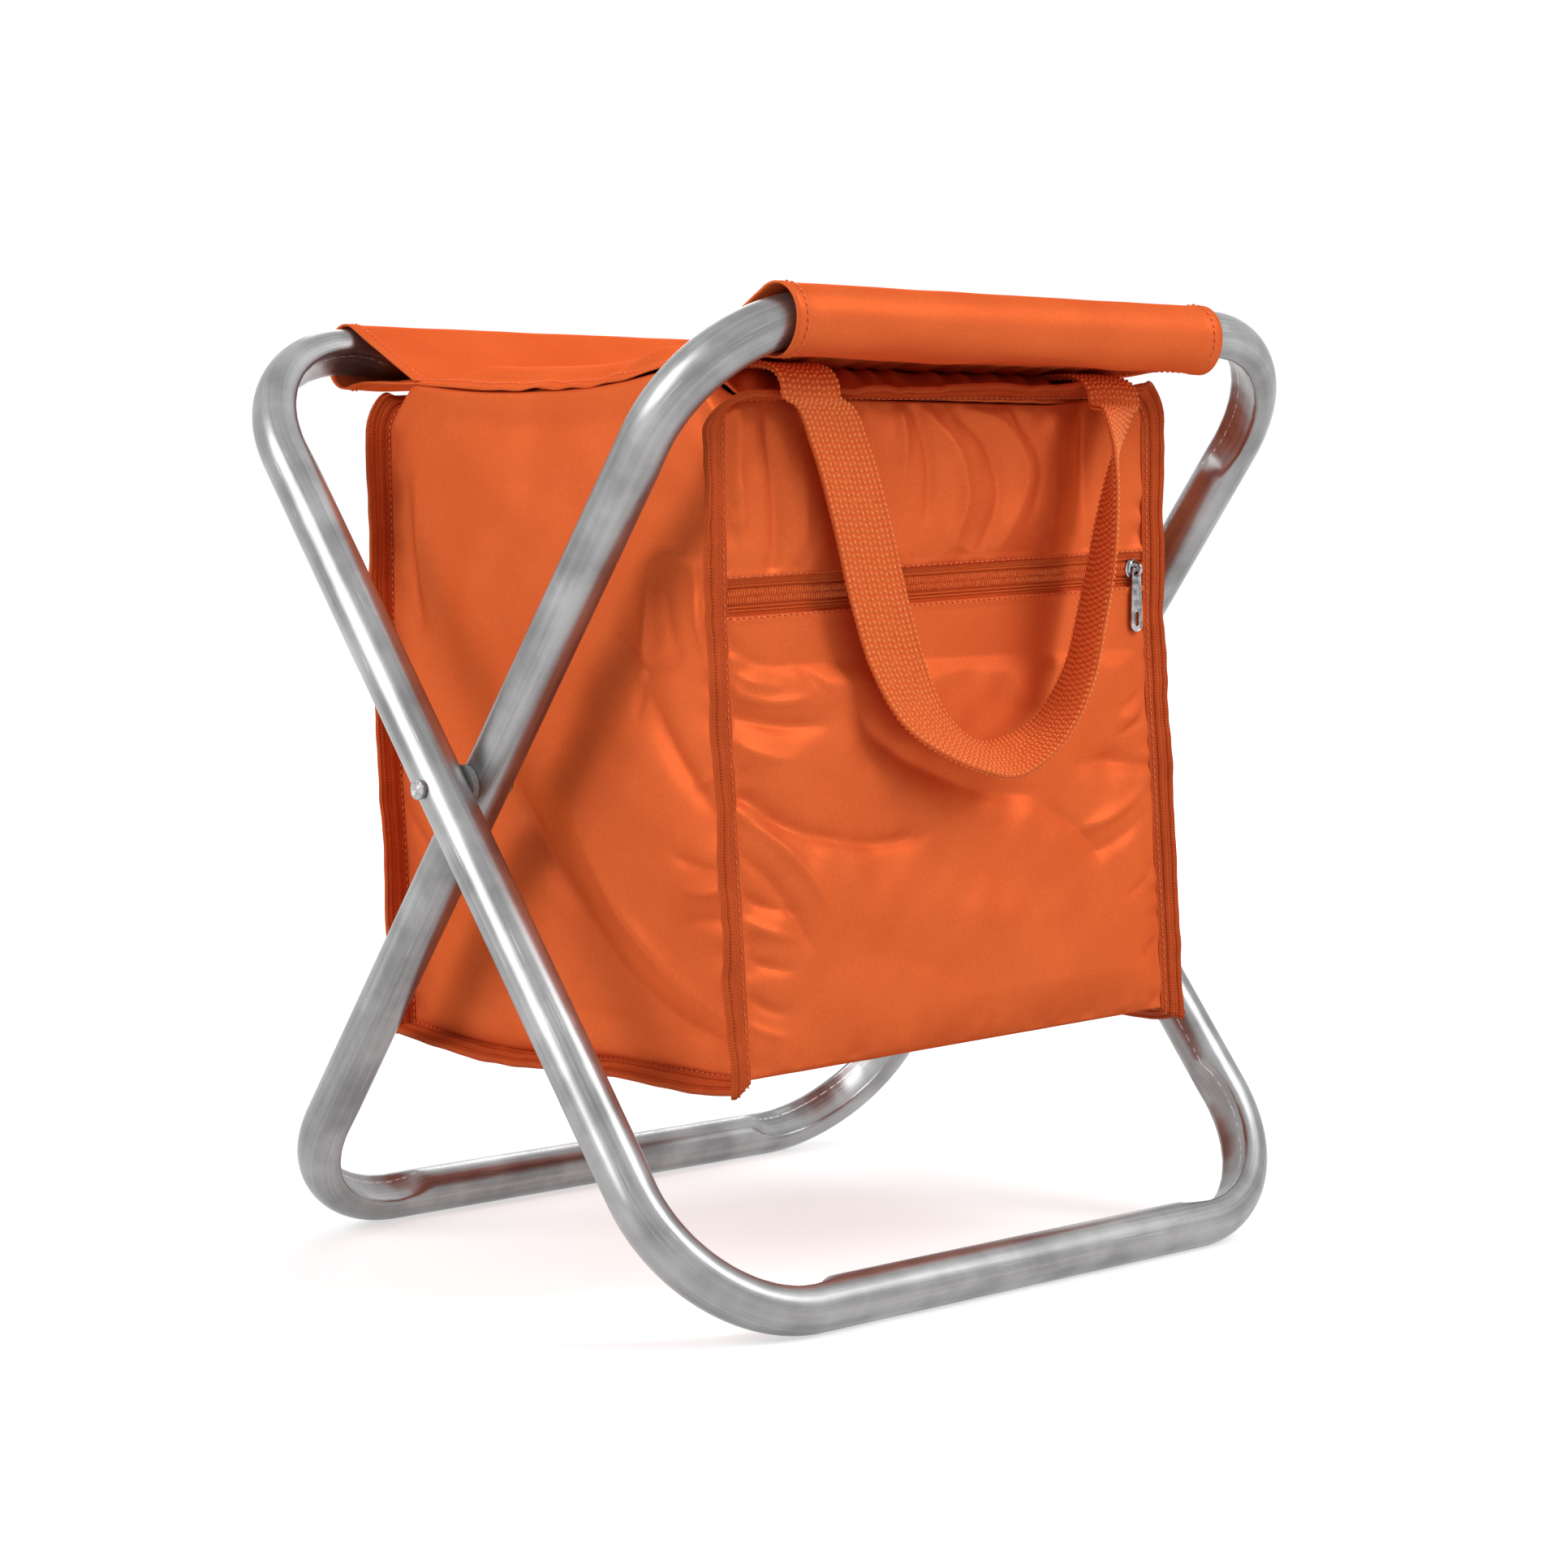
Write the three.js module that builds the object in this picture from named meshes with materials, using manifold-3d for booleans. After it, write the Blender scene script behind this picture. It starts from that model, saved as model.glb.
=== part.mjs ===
// Folding cooler stool. Two crossed loops of bent tube carry a cloth seat on their top
// rails, and an insulated zip bag is sewn under the seat. Millimetres, +Z up, floor at
// z = 0, rails along X, zip pocket towards -Y.

import * as THREE from 'three';
import { mergeVertices } from 'three/addons/utils/BufferGeometryUtils.js';
import Module from 'manifold-3d';

const wasm = await Module();
wasm.setup();

// Frame: driving dimensions
const tubeDiameter = 20;
const tubeWall = 1.2;
const legSpacing = 331.8; // between the two leg centres of one loop
const loopHeight = 461.5; // between the two rail centres of one loop, along its legs
const pivotFromFloorRail = 239.5;
const legTilt = THREE.MathUtils.degToRad(37.62);
const crossingGap = 0.8; // between the two loops' round tubes where they cross
const bendRadius = 56;
const pivotDentDepth = 1.2; // flat pressed into each leg beside the rivet
const pivotDentLength = 46;
const spliceGap = 0.6; // between the tube's two ends, inside the seat sleeve
const spliceLength = 60;
const spliceWall = 1.4;
const rivetDiameter = 5;
const rivetHeadDiameter = 8;
const rivetHeadHeight = 2.2;
const washerDiameter = 17;

// Cloth: driving dimensions
const clothOverBend = 8.1; // each end of the cloth reaches this far past the rail's straight part
const clothOffset = -4; // the cloth has slid this far along the rails
const clothThickness = 1.2;
const seatDrop = 28.5; // the bag's top hangs this far below the middle of the top rails
const bagHeight = 257;
const railRoom = 31; // between the bag's face and the middle of the top rail
const bagCornerRadius = 12;
const seamInset = 18.5; // from the bag's face back to the seam that joins seat and bag
const topCrown = 3; // the bag's top rises this much to the seams
const sleeveThickness = 1.5;
const sleeveDroop = 4; // slack of the sleeve under its rail
const flapStitchInset = 4; // from the seam's edge to where a flap's two layers part
const insulationThickness = 3.5;
const pocketDepth = 7;
const leanReach = 9.5; // the bag's bottom has swung this far forward
const frontSwell = 5.5; // the lower front panel stands out this far in its middle
const backSwell = 4.5;
const sideSwell = 6;
const bindingWidth = 12.5;
const bindingThickness = 2.6;

// Handles: driving dimensions
const handleWidth = 30;
const handleThickness = 1.6;
const handleInset = 33; // from the cloth's edge to the middle of each sewn end
const handleDrop = 148.5;
const handleReach = 15; // the strap bends down this far in front of the bag
const handleStep = 1.9; // the loop hangs from this much above the sewn ends' middle

// Zips: driving dimensions
const zipSlope = THREE.MathUtils.degToRad(2);
const pocketZipDrop = 71; // below the bag's top, in the middle of the front
const mainZipDrop = 47; // below the bag's top, on the back
const zipWindow = 13; // gap between the cloth edges, with the chain in its middle
const chainWidth = 6;
const chainThickness = 2.4;
const tapeWidth = 6.2;
const tapeThickness = 0.8;
const sliderLength = 9.6;
const sliderWidth = 8.6;
const sliderPlate = 1.4;
const sliderInset = 6.2; // slider's middle to the zip's end, when shut
const bridgeRod = 1.2;
const bridgeClearance = 2;
const pullerLength = 26;
const pullerWidth = 6.4;
const pullerThickness = 1.2;
const pullerSlotWidth = 2.8;
const pullerSlotLength = 7;

// One clearance between pieces that touch, and one overrun for cuts
const clearance = 0.3;
const overrun = 2;

// Sizes worked out from the ones above
const tubeRadius = tubeDiameter / 2;
const pivotHeight = tubeRadius + pivotFromFloorRail * Math.cos(legTilt);
const railAbovePivot = loopHeight - pivotFromFloorRail;
const railHeight = tubeRadius + loopHeight * Math.cos(legTilt);
const railReach = railAbovePivot * Math.sin(legTilt);
const legOffset = (tubeDiameter + crossingGap) / 2;
const outerLeg = legSpacing / 2 + legOffset;
const innerLeg = legSpacing / 2 - legOffset;
const halfCloth = legSpacing / 2 - bendRadius + clothOverBend;
const clothWidth = 2 * halfCloth;
const bagFace = railReach - railRoom;
const bagDepth = 2 * bagFace;
const bagTopHeight = railHeight - seatDrop;
const bagBottomHeight = bagTopHeight - bagHeight;
const seamReach = bagFace - seamInset;
const handleHalfSpan = halfCloth - handleInset;
const pocketZipHeight = bagTopHeight - pocketZipDrop;
const mainZipHeight = bagTopHeight - mainZipDrop;

// Materials
const finish = (color, roughness, metalness) => (
  new THREE.MeshStandardMaterial({ color, roughness, metalness }));
const tubeMetal = finish(0xa3a3a3, 0.38, 0.9);
const rivetMetal = finish(0xb4b4b4, 0.3, 0.9);
const chromeMetal = finish(0xd4d4d4, 0.15, 1);
const nylonCloth = finish(0xdc6634, 0.45, 0);
const bindingCloth = finish(0xc24c26, 0.7, 0);
const webbingCloth = finish(0xe06a34, 0.8, 0);
const zipCloth = finish(0xd8602e, 0.7, 0);
const zipNylon = finish(0xc65228, 0.5, 0);
const foilFoam = finish(0xc9cbcd, 0.35, 0.3);
const washerNylon = finish(0x2b2b2b, 0.6, 0);

// Helpers: shapes

// Triangles as a closed geometry whose faces point out.
function closedGeometry(triangles) {
  const volume = triangles.reduce((sum, [a, b, c]) => sum + a.dot(new THREE.Vector3().crossVectors(b, c)), 0);
  const positions = triangles.flatMap(([a, b, c]) => (volume < 0 ? [a, c, b] : [a, b, c]))
    .flatMap((point) => point.toArray());
  const geometry = new THREE.BufferGeometry();
  geometry.setAttribute('position', new THREE.Float32BufferAttribute(positions, 3));
  const merged = mergeVertices(geometry);
  merged.computeVertexNormals();
  return merged;
}

// The side faces between two rings of as many points.
function band(ringA, ringB) {
  return ringA.flatMap((point, k) => {
    const next = (k + 1) % ringA.length;
    return [[point, ringA[next], ringB[next]], [point, ringB[next], ringB[k]]];
  });
}

// A flat end across a ring that runs out and comes back, such as a circle or a strip.
function ladderCap(ring) {
  const last = ring.length - 1;
  return ring.slice(0, ring.length / 2 - 1).flatMap((point, k) => [
    [point, ring[last - k], ring[k + 1]],
    [ring[k + 1], ring[last - k], ring[last - k - 1]],
  ]);
}

// A solid body through a row of rings.
function loft(rings) {
  const sides = rings.slice(1).flatMap((ring, i) => band(rings[i], ring));
  const start = ladderCap(rings[0]);
  const end = ladderCap(rings.at(-1)).map(([a, b, c]) => [a, c, b]);
  return closedGeometry([...sides, ...start, ...end]);
}

// A hollow body with open ends through two rows of rings, the outer and the inner wall.
function pipe(outerRings, innerRings) {
  const outer = outerRings.slice(1).flatMap((ring, i) => band(outerRings[i], ring));
  const inner = innerRings.slice(1).flatMap((ring, i) => band(ring, innerRings[i]));
  const start = band(innerRings[0], outerRings[0]);
  const end = band(outerRings.at(-1), innerRings.at(-1));
  return closedGeometry([...outer, ...inner, ...start, ...end]);
}

// A flat strap: stations give its middle, the way across it and its width.
function strap(stations, thickness) {
  const rings = stations.map(({ at, across, width }, i) => {
    const before = stations[Math.max(i - 1, 0)].at;
    const after = stations[Math.min(i + 1, stations.length - 1)].at;
    const side = across.clone().normalize().multiplyScalar(width / 2);
    const along = after.clone().sub(before);
    const up = along.cross(side).normalize().multiplyScalar(thickness / 2);
    return [[-1, 1], [1, 1], [1, -1], [-1, -1]].map(([s, u]) => (
      at.clone().addScaledVector(side, s).addScaledVector(up, u)));
  });
  return loft(rings);
}

// The outline of a bent sheet: its middle line, given half the thickness on each side.
function sheetOutline(points, thickness) {
  const sideOf = (i) => {
    const before = points[Math.max(i - 1, 0)];
    const after = points[Math.min(i + 1, points.length - 1)];
    const along = after.clone().sub(before).normalize();
    return new THREE.Vector2(-along.y, along.x).multiplyScalar(thickness / 2);
  };
  const oneSide = points.map((point, i) => point.clone().add(sideOf(i)));
  const otherSide = points.map((point, i) => point.clone().sub(sideOf(i)));
  return [...oneSide, ...otherSide.reverse()];
}

// An outline in (Y, Z) run along X, centred on x = 0.
function alongX(outline, length) {
  const settings = { depth: length, bevelEnabled: false };
  const geometry = new THREE.ExtrudeGeometry(new THREE.Shape(outline), settings);
  const turn = new THREE.Matrix4().makeBasis(
    new THREE.Vector3(0, 1, 0), new THREE.Vector3(0, 0, 1), new THREE.Vector3(1, 0, 0));
  return geometry.translate(0, 0, -length / 2).applyMatrix4(turn);
}

// An outline in (X, Z) run along Y from y = 0 to y = -depth.
function alongY(outline, depth) {
  const shape = outline instanceof THREE.Shape ? outline : new THREE.Shape(outline);
  return new THREE.ExtrudeGeometry(shape, { depth, bevelEnabled: false }).rotateX(Math.PI / 2);
}

// A block between two corners.
function block([x0, y0, z0], [x1, y1, z1]) {
  return new THREE.BoxGeometry(x1 - x0, y1 - y0, z1 - z0)
    .translate((x0 + x1) / 2, (y0 + y1) / 2, (z0 + z1) / 2);
}

// A round bar along X, centred on the origin.
function barAlongX(radius, length, sides) {
  return new THREE.CylinderGeometry(radius, radius, length, sides).rotateZ(Math.PI / 2);
}

// Helpers: joining and cutting

function toSolid(geometry) {
  const bare = geometry.clone();
  bare.deleteAttribute('normal');
  bare.deleteAttribute('uv');
  const merged = mergeVertices(bare);
  return new wasm.Manifold(new wasm.Mesh({
    numProp: 3,
    vertProperties: new Float32Array(merged.attributes.position.array),
    triVerts: new Uint32Array(merged.index.array),
  }));
}

function toGeometry(solid) {
  const mesh = solid.getMesh();
  const geometry = new THREE.BufferGeometry();
  geometry.setAttribute('position', new THREE.BufferAttribute(mesh.vertProperties, 3));
  geometry.setIndex(new THREE.BufferAttribute(mesh.triVerts, 1));
  geometry.computeVertexNormals();
  return geometry;
}

const joined = (...shapes) => toGeometry(shapes.map(toSolid).reduce((a, b) => a.add(b)));
const cutFrom = (shape, ...cutters) => (
  toGeometry(cutters.map(toSolid).reduce((a, b) => a.subtract(b), toSolid(shape))));

// Helper: a named piece in its group

const stool = new THREE.Group();
function piece(name, geometry, material, parent = stool) {
  const mesh = new THREE.Mesh(geometry, material);
  mesh.name = name;
  parent.add(mesh);
  return mesh;
}

// A group at a place, turned about Z, so that front and back share one construction.
function turnedGroup(x, turn, parent = stool) {
  const group = new THREE.Group();
  group.position.x = x;
  group.rotation.z = turn;
  parent.add(group);
  return group;
}

// Frame tubes. Each loop is one bent tube, flattened in its bends and pressed flat beside
// the rivets, with its two ends meeting over a splice in the middle of the top rail.
const tubeSides = 16;
const bendSteps = 6;
const bendFlatteningShare = 0.24;
const bendSpreadShare = 0.06;
const dentShares = [-0.5, -0.3, -0.12, 0.12, 0.3, 0.5];

// Places round one loop, from one tube end to the other, in the loop's own plane.
function loopStations() {
  const top = railAbovePivot;
  const floor = -pivotFromFloorRail;
  const side = legSpacing / 2;
  const stations = [{ x: spliceGap / 2, z: top, angle: Math.PI / 2, bend: 0, dent: 0 }];
  const addBend = (sideSign, middleZ, fromAngle) => {
    for (let step = 0; step <= bendSteps; step += 1) {
      const angle = fromAngle - (Math.PI / 2) * (step / bendSteps);
      stations.push({
        x: sideSign * (side - bendRadius) + bendRadius * Math.cos(angle),
        z: middleZ + bendRadius * Math.sin(angle),
        angle,
        bend: Math.sin(Math.PI * (step / bendSteps)),
        dent: 0,
      });
    }
  };
  const addLeg = (sideSign) => {
    dentShares.forEach((share) => {
      stations.push({
        x: sideSign * side,
        z: -sideSign * share * pivotDentLength,
        angle: sideSign > 0 ? 0 : -Math.PI,
        bend: 0,
        dent: Math.cos(Math.PI * share) ** 0.5,
      });
    });
  };
  addBend(1, top - bendRadius, Math.PI / 2);
  addLeg(1);
  addBend(1, floor + bendRadius, 0);
  addBend(-1, floor + bendRadius, -Math.PI / 2);
  addLeg(-1);
  addBend(-1, top - bendRadius, -Math.PI);
  stations.push({ x: -spliceGap / 2, z: top, angle: -1.5 * Math.PI, bend: 0, dent: 0 });
  return stations;
}

// The ring of one wall at a station. A facet of the section lies level under the floor
// rail, and on the legs the side towards the other loop (+X) is pressed flat.
function tubeRing({ x, z, angle, bend, dent }, radius) {
  const cornerRadius = radius / Math.cos(Math.PI / tubeSides);
  const flatX = x + radius - dent * pivotDentDepth;
  return Array.from({ length: tubeSides }, (_, k) => {
    const around = legTilt + (2 * Math.PI * (k + 0.5)) / tubeSides;
    const out = cornerRadius * Math.cos(around) * (1 - bendFlatteningShare * bend);
    const across = cornerRadius * Math.sin(around) * (1 + bendSpreadShare * bend);
    const pointX = x + out * Math.cos(angle);
    return new THREE.Vector3(dent > 0 ? Math.min(pointX, flatX) : pointX, across, z + out * Math.sin(angle));
  });
}

const rivetHoleRadius = rivetDiameter / 2 + clearance;

function frameTube() {
  const stations = loopStations();
  const outer = stations.map((station) => tubeRing(station, tubeRadius));
  const inner = stations.map((station) => tubeRing(station, tubeRadius - tubeWall));
  const holeLength = tubeDiameter + 2 * overrun;
  const holeCutters = [-1, 1].map((side) => (
    barAlongX(rivetHoleRadius, holeLength, tubeSides).translate((side * legSpacing) / 2, 0, 0)));
  return cutFrom(pipe(outer, inner), ...holeCutters);
}

// Splice: a short tube inside both tube ends
function spliceTube() {
  const outerRadius = tubeRadius - tubeWall - clearance;
  const railPlace = { z: railAbovePivot, angle: Math.PI / 2, bend: 0, dent: 0 };
  const ring = (radius, x) => tubeRing({ ...railPlace, x }, radius);
  const ends = [-spliceLength / 2, spliceLength / 2];
  return pipe(ends.map((x) => ring(outerRadius, x)), ends.map((x) => ring(outerRadius - spliceWall, x)));
}

function addFrame(name, turn) {
  const turned = turnedGroup(0, turn);
  const plane = new THREE.Group();
  plane.position.set(-legOffset, 0, pivotHeight);
  plane.rotation.x = -legTilt;
  turned.add(plane);
  piece(`${name}_tube`, frameTube(), tubeMetal, plane);
  piece(`${name}_splice`, spliceTube(), tubeMetal, plane);
}

addFrame('rear_rail_frame', 0);
addFrame('front_rail_frame', Math.PI);

// Pivots: one rivet through both legs on each side, with a spacer washer between the flats
function addPivot(side, turn) {
  const group = turnedGroup(0, turn);
  const headBase = outerLeg + tubeRadius + clearance;
  const tailBase = innerLeg - tubeRadius - clearance;
  const head = (radius, height, baseX, way) => {
    const dome = [[0, 0], [radius, 0], [radius, height * 0.35], [radius * 0.7, height * 0.8], [0, height]];
    return new THREE.LatheGeometry(dome.map(([r, h]) => new THREE.Vector2(r, h)), tubeSides)
      .rotateZ(way * (Math.PI / 2)).translate(-baseX, 0, 0);
  };
  const shank = barAlongX(rivetDiameter / 2, headBase - tailBase + clearance, tubeSides)
    .translate(-(headBase + tailBase) / 2, 0, 0);
  const rivet = joined(
    shank,
    head(rivetHeadDiameter / 2, rivetHeadHeight, headBase, 1),
    head(rivetHeadDiameter / 2, rivetHeadHeight, tailBase, -1),
  );
  piece(`pivot_rivet_${side}`, rivet, rivetMetal, group).position.z = pivotHeight;
  const washerThickness = crossingGap + 2 * (pivotDentDepth - clearance);
  const washer = cutFrom(
    barAlongX(washerDiameter / 2, washerThickness, tubeSides),
    barAlongX(rivetHoleRadius, washerThickness + 2 * overrun, tubeSides),
  );
  piece(`pivot_washer_${side}`, washer, washerNylon, group).position.set(-legSpacing / 2, 0, pivotHeight);
}

addPivot('left', 0);
addPivot('right', Math.PI);

// Seat sleeves: the cloth wrapped round each top rail, slack underneath
const sleeveBore = tubeRadius / Math.cos(Math.PI / tubeSides) + clearance;
const sleeveUpperEnd = THREE.MathUtils.degToRad(57);
const sleeveLowerEnd = THREE.MathUtils.degToRad(282);
const sleeveSteps = 16;

// A point of the sleeve's middle layer, round the front rail.
function sleevePoint(angle) {
  const slack = sleeveDroop * ((1 - Math.sin(angle)) / 2) ** 3;
  const radius = sleeveBore + sleeveThickness / 2 + slack;
  return new THREE.Vector2(-railReach + radius * Math.cos(angle), railHeight + radius * Math.sin(angle));
}

function sleeve() {
  const points = Array.from({ length: sleeveSteps + 1 }, (_, i) => (
    sleevePoint(sleeveUpperEnd + (sleeveLowerEnd - sleeveUpperEnd) * (i / sleeveSteps))));
  return alongX(sheetOutline(points, sleeveThickness), clothWidth);
}

// Layers that meet at the seam, from the bag's top upwards: top panel, handle end, flap, seat
const topPanelHeight = bagTopHeight + clearance + clothThickness / 2;
const tabHeight = topPanelHeight + topCrown + clothThickness / 2 + clearance + handleThickness / 2;
const flapHeight = tabHeight + handleThickness / 2 + clearance + clothThickness / 2;
const seatEdgeHeight = flapHeight + clothThickness + clearance;
const seatMiddleHeight = topPanelHeight + clothThickness + clearance;
const handleRootHeight = tabHeight + handleStep;

// Seat flaps: the two layers of the cloth between a sleeve and its seam, sewn to each
// other at the seam
function flap() {
  const half = clothThickness / 2;
  const seamEnd = -seamReach - clearance;
  const upperRail = sleevePoint(sleeveUpperEnd).add(new THREE.Vector2(2 * clearance, -clearance));
  const lowerRail = sleevePoint(sleeveLowerEnd).add(new THREE.Vector2(2 * clearance, 0));
  const sideOf = (railPoint, seamPoint, side) => {
    const along = seamPoint.clone().sub(railPoint).normalize();
    const up = new THREE.Vector2(-along.y, along.x).multiplyScalar(side * half);
    return [railPoint.clone().add(up), seamPoint.clone().add(up)];
  };
  const upperSeam = new THREE.Vector2(seamEnd, seatEdgeHeight);
  const lowerSeam = new THREE.Vector2(seamEnd, flapHeight);
  const crotch = new THREE.Vector2(seamEnd - flapStitchInset, (seatEdgeHeight + flapHeight) / 2);
  const outline = [
    ...sideOf(upperRail, upperSeam, 1),
    ...sideOf(lowerRail, lowerSeam, -1).reverse(),
    sideOf(lowerRail, lowerSeam, 1)[0],
    crotch,
    sideOf(upperRail, upperSeam, -1)[0],
  ];
  return alongX(outline, clothWidth);
}

// Seat panel: one sheet that sags between the seams, with a soft fold beside its left edge
const seatFoldHeight = 2.5;
const seatColumns = 16;
const seatRows = 14;

function seatSurface(x, y) {
  const sag = seatMiddleHeight + (seatEdgeHeight - seatMiddleHeight) * (y / seamReach) ** 2;
  const foldLine = Math.exp(-(((x / halfCloth + 0.72) / 0.2) ** 2));
  const foldRun = Math.max(0, Math.cos((Math.PI / 2) * ((y / seamReach + 0.25) / 0.75)));
  return sag + seatFoldHeight * foldLine * foldRun;
}

function seatPanel() {
  const rings = Array.from({ length: seatRows + 1 }, (_, j) => {
    const y = (seamReach - clearance) * ((2 * j) / seatRows - 1);
    const top = Array.from({ length: seatColumns + 1 }, (__, i) => {
      const x = halfCloth * ((2 * i) / seatColumns - 1);
      return new THREE.Vector3(x, y, seatSurface(x, y) + clothThickness / 2);
    });
    const under = top.map((point) => point.clone().setZ(point.z - clothThickness)).reverse();
    return [...top, ...under];
  });
  return loft(rings);
}

// Bag shell. The bag hangs straight down as far as the pocket zip's puller reaches, and
// leans forward below that.
const cornerSteps = 4;
const leanTop = pocketZipHeight - pullerLength;
const wallReach = bagFace - clothThickness - clearance;
const lean = (z) => leanReach * Math.max(0, (leanTop - z) / (leanTop - bagBottomHeight));
const leaned = (point, forward) => point.clone().setY(point.y - forward * lean(point.z));

// A block of the bag between two corners, with a row of points where the lean starts.
function bagBlock([x0, y0, z0], [x1, y1, z1]) {
  const levels = z0 < leanTop && leanTop < z1 ? [z0, leanTop, z1] : [z0, z1];
  const corners = [[x0, y0], [x1, y0], [x1, y1], [x0, y1]];
  return loft(levels.map((z) => corners.map(([x, y]) => leaned(new THREE.Vector3(x, y, z), 1))));
}

// How much a panel swells at a share of its width, -1 to 1, and a share of its height, 0 to 1.
const swellShare = (across, up) => (1 - across ** 4) * (1 - (2 * up - 1) ** 4);
const acrossShares = [-1, -0.88, -0.65, -0.35, 0, 0.35, 0.65, 0.88, 1];
const upShares = [0, 0.1, 0.25, 0.45, 0.65, 0.85, 1];

// A lower panel: one sheet from the bag's bottom to its zip, which swells below the puller.
function lowerPanel(zipHeight, slope, swell, forward) {
  const rings = acrossShares.map((across) => {
    const x = across * halfCloth;
    const zipEdge = zipHeight + x * Math.tan(slope) - zipWindow / 2;
    const outer = upShares.map((up) => new THREE.Vector3(
      x, -bagFace - swell * swellShare(across, up), bagBottomHeight + up * (leanTop - bagBottomHeight)));
    outer.push(new THREE.Vector3(x, -bagFace, zipEdge));
    const inner = outer.map((point) => point.clone().setY(point.y + clothThickness)).reverse();
    return [...outer, ...inner].map((point) => leaned(point, forward));
  });
  return loft(rings);
}

// An upper panel: one sheet from its zip to the bag's top, with the two rounded corners.
function upperPanel(zipHeight, slope) {
  const edgeAt = (x) => zipHeight + x * Math.tan(slope) + zipWindow / 2;
  const cornerX = halfCloth - bagCornerRadius;
  const cornerZ = bagTopHeight - bagCornerRadius;
  const shape = new THREE.Shape();
  shape.moveTo(-halfCloth, edgeAt(-halfCloth));
  shape.lineTo(halfCloth, edgeAt(halfCloth));
  shape.lineTo(halfCloth, cornerZ);
  shape.absarc(cornerX, cornerZ, bagCornerRadius, 0, Math.PI / 2);
  shape.lineTo(-cornerX, bagTopHeight);
  shape.absarc(-cornerX, cornerZ, bagCornerRadius, Math.PI / 2, Math.PI);
  const settings = { depth: clothThickness, bevelEnabled: false, curveSegments: cornerSteps };
  const panel = new THREE.ExtrudeGeometry(shape, settings).rotateX(Math.PI / 2);
  return panel.translate(0, clothThickness - bagFace, 0);
}

// A side panel swells over its wall and turns over into the top with the corner's radius.
function sidePanel(sign) {
  const arcRadius = bagCornerRadius - clothThickness / 2;
  const arcX = halfCloth - bagCornerRadius;
  const arcZ = bagTopHeight - bagCornerRadius;
  const low = bagBottomHeight + clothThickness + clearance;
  const heights = [...upShares.map((up) => low + up * (leanTop - low)), (leanTop + 2 * arcZ) / 3];
  const rings = acrossShares.map((across) => {
    const points = heights.map((z) => {
      const swell = sideSwell * swellShare(across, (z - low) / (arcZ - low));
      return new THREE.Vector2(sign * (halfCloth - clothThickness / 2 + swell), z);
    });
    for (let step = 0; step <= cornerSteps; step += 1) {
      const angle = (Math.PI / 2) * (step / cornerSteps);
      const x = arcX + arcRadius * Math.cos(angle);
      points.push(new THREE.Vector2(sign * x, arcZ + arcRadius * Math.sin(angle)));
    }
    return sheetOutline(points, clothThickness)
      .map(({ x, y: z }) => leaned(new THREE.Vector3(x, across * wallReach, z), 1));
  });
  return loft(rings);
}

// The top panel rises to the two seams and falls to the bag's front and back edges.
function topPanel() {
  const crownPoint = (share) => new THREE.Vector2(share * seamReach, topPanelHeight + topCrown * share ** 2);
  const points = [
    new THREE.Vector2(-wallReach, topPanelHeight),
    ...[-1, -0.66, -0.33, 0, 0.33, 0.66, 1].map(crownPoint),
    new THREE.Vector2(wallReach, topPanelHeight),
  ];
  return alongX(sheetOutline(points, clothThickness), clothWidth - 2 * (bagCornerRadius + clearance));
}

// Insulation: foam boards faced with foil, one behind each wall
const boardInset = clothThickness + clearance;
const boardX = halfCloth - boardInset;
const boardFront = -bagFace + clothThickness + pocketDepth;
const boardBack = bagFace - clothThickness - tapeThickness - 2 * clearance - sliderPlate - clearance;
const boardFloor = bagBottomHeight + boardInset;
const boardCeiling = bagTopHeight - insulationThickness;

function addInsulation(group) {
  const inner = insulationThickness + clearance;
  const wallFloor = boardFloor + inner;
  const wallCeiling = boardCeiling - clearance;
  const sideCeiling = bagTopHeight - bagCornerRadius - clearance;
  const topX = halfCloth - bagCornerRadius - clearance;
  const slotLow = mainZipHeight - zipWindow / 2;
  const slotHigh = mainZipHeight + zipWindow / 2;
  const between = boardX - inner;
  const boardTop = boardFloor + insulationThickness;
  const sideInside = boardX - insulationThickness;
  const frontInside = boardFront + insulationThickness;
  const sideFront = frontInside + clearance;
  const backInside = boardBack - insulationThickness;
  const boards = {
    insulation_bottom: [[-boardX, boardFront, boardFloor], [boardX, boardBack, boardTop]],
    insulation_top: [[-topX, boardFront, boardCeiling], [topX, boardBack, bagTopHeight]],
    insulation_left: [[-boardX, sideFront, wallFloor], [-sideInside, boardBack, sideCeiling]],
    insulation_right: [[sideInside, sideFront, wallFloor], [boardX, boardBack, sideCeiling]],
    insulation_front: [[-between, boardFront, wallFloor], [between, frontInside, wallCeiling]],
    insulation_back_lower: [[-between, backInside, wallFloor], [between, boardBack, slotLow]],
    insulation_back_upper: [[-between, backInside, slotHigh], [between, boardBack, wallCeiling]],
  };
  Object.entries(boards).forEach(([name, corners]) => piece(name, bagBlock(...corners), foilFoam, group));
}

// Binding: ribbed tape folded over the seam edges, standing out like a fin
const bindingRoot = bindingWidth / 2 + clearance;

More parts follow.
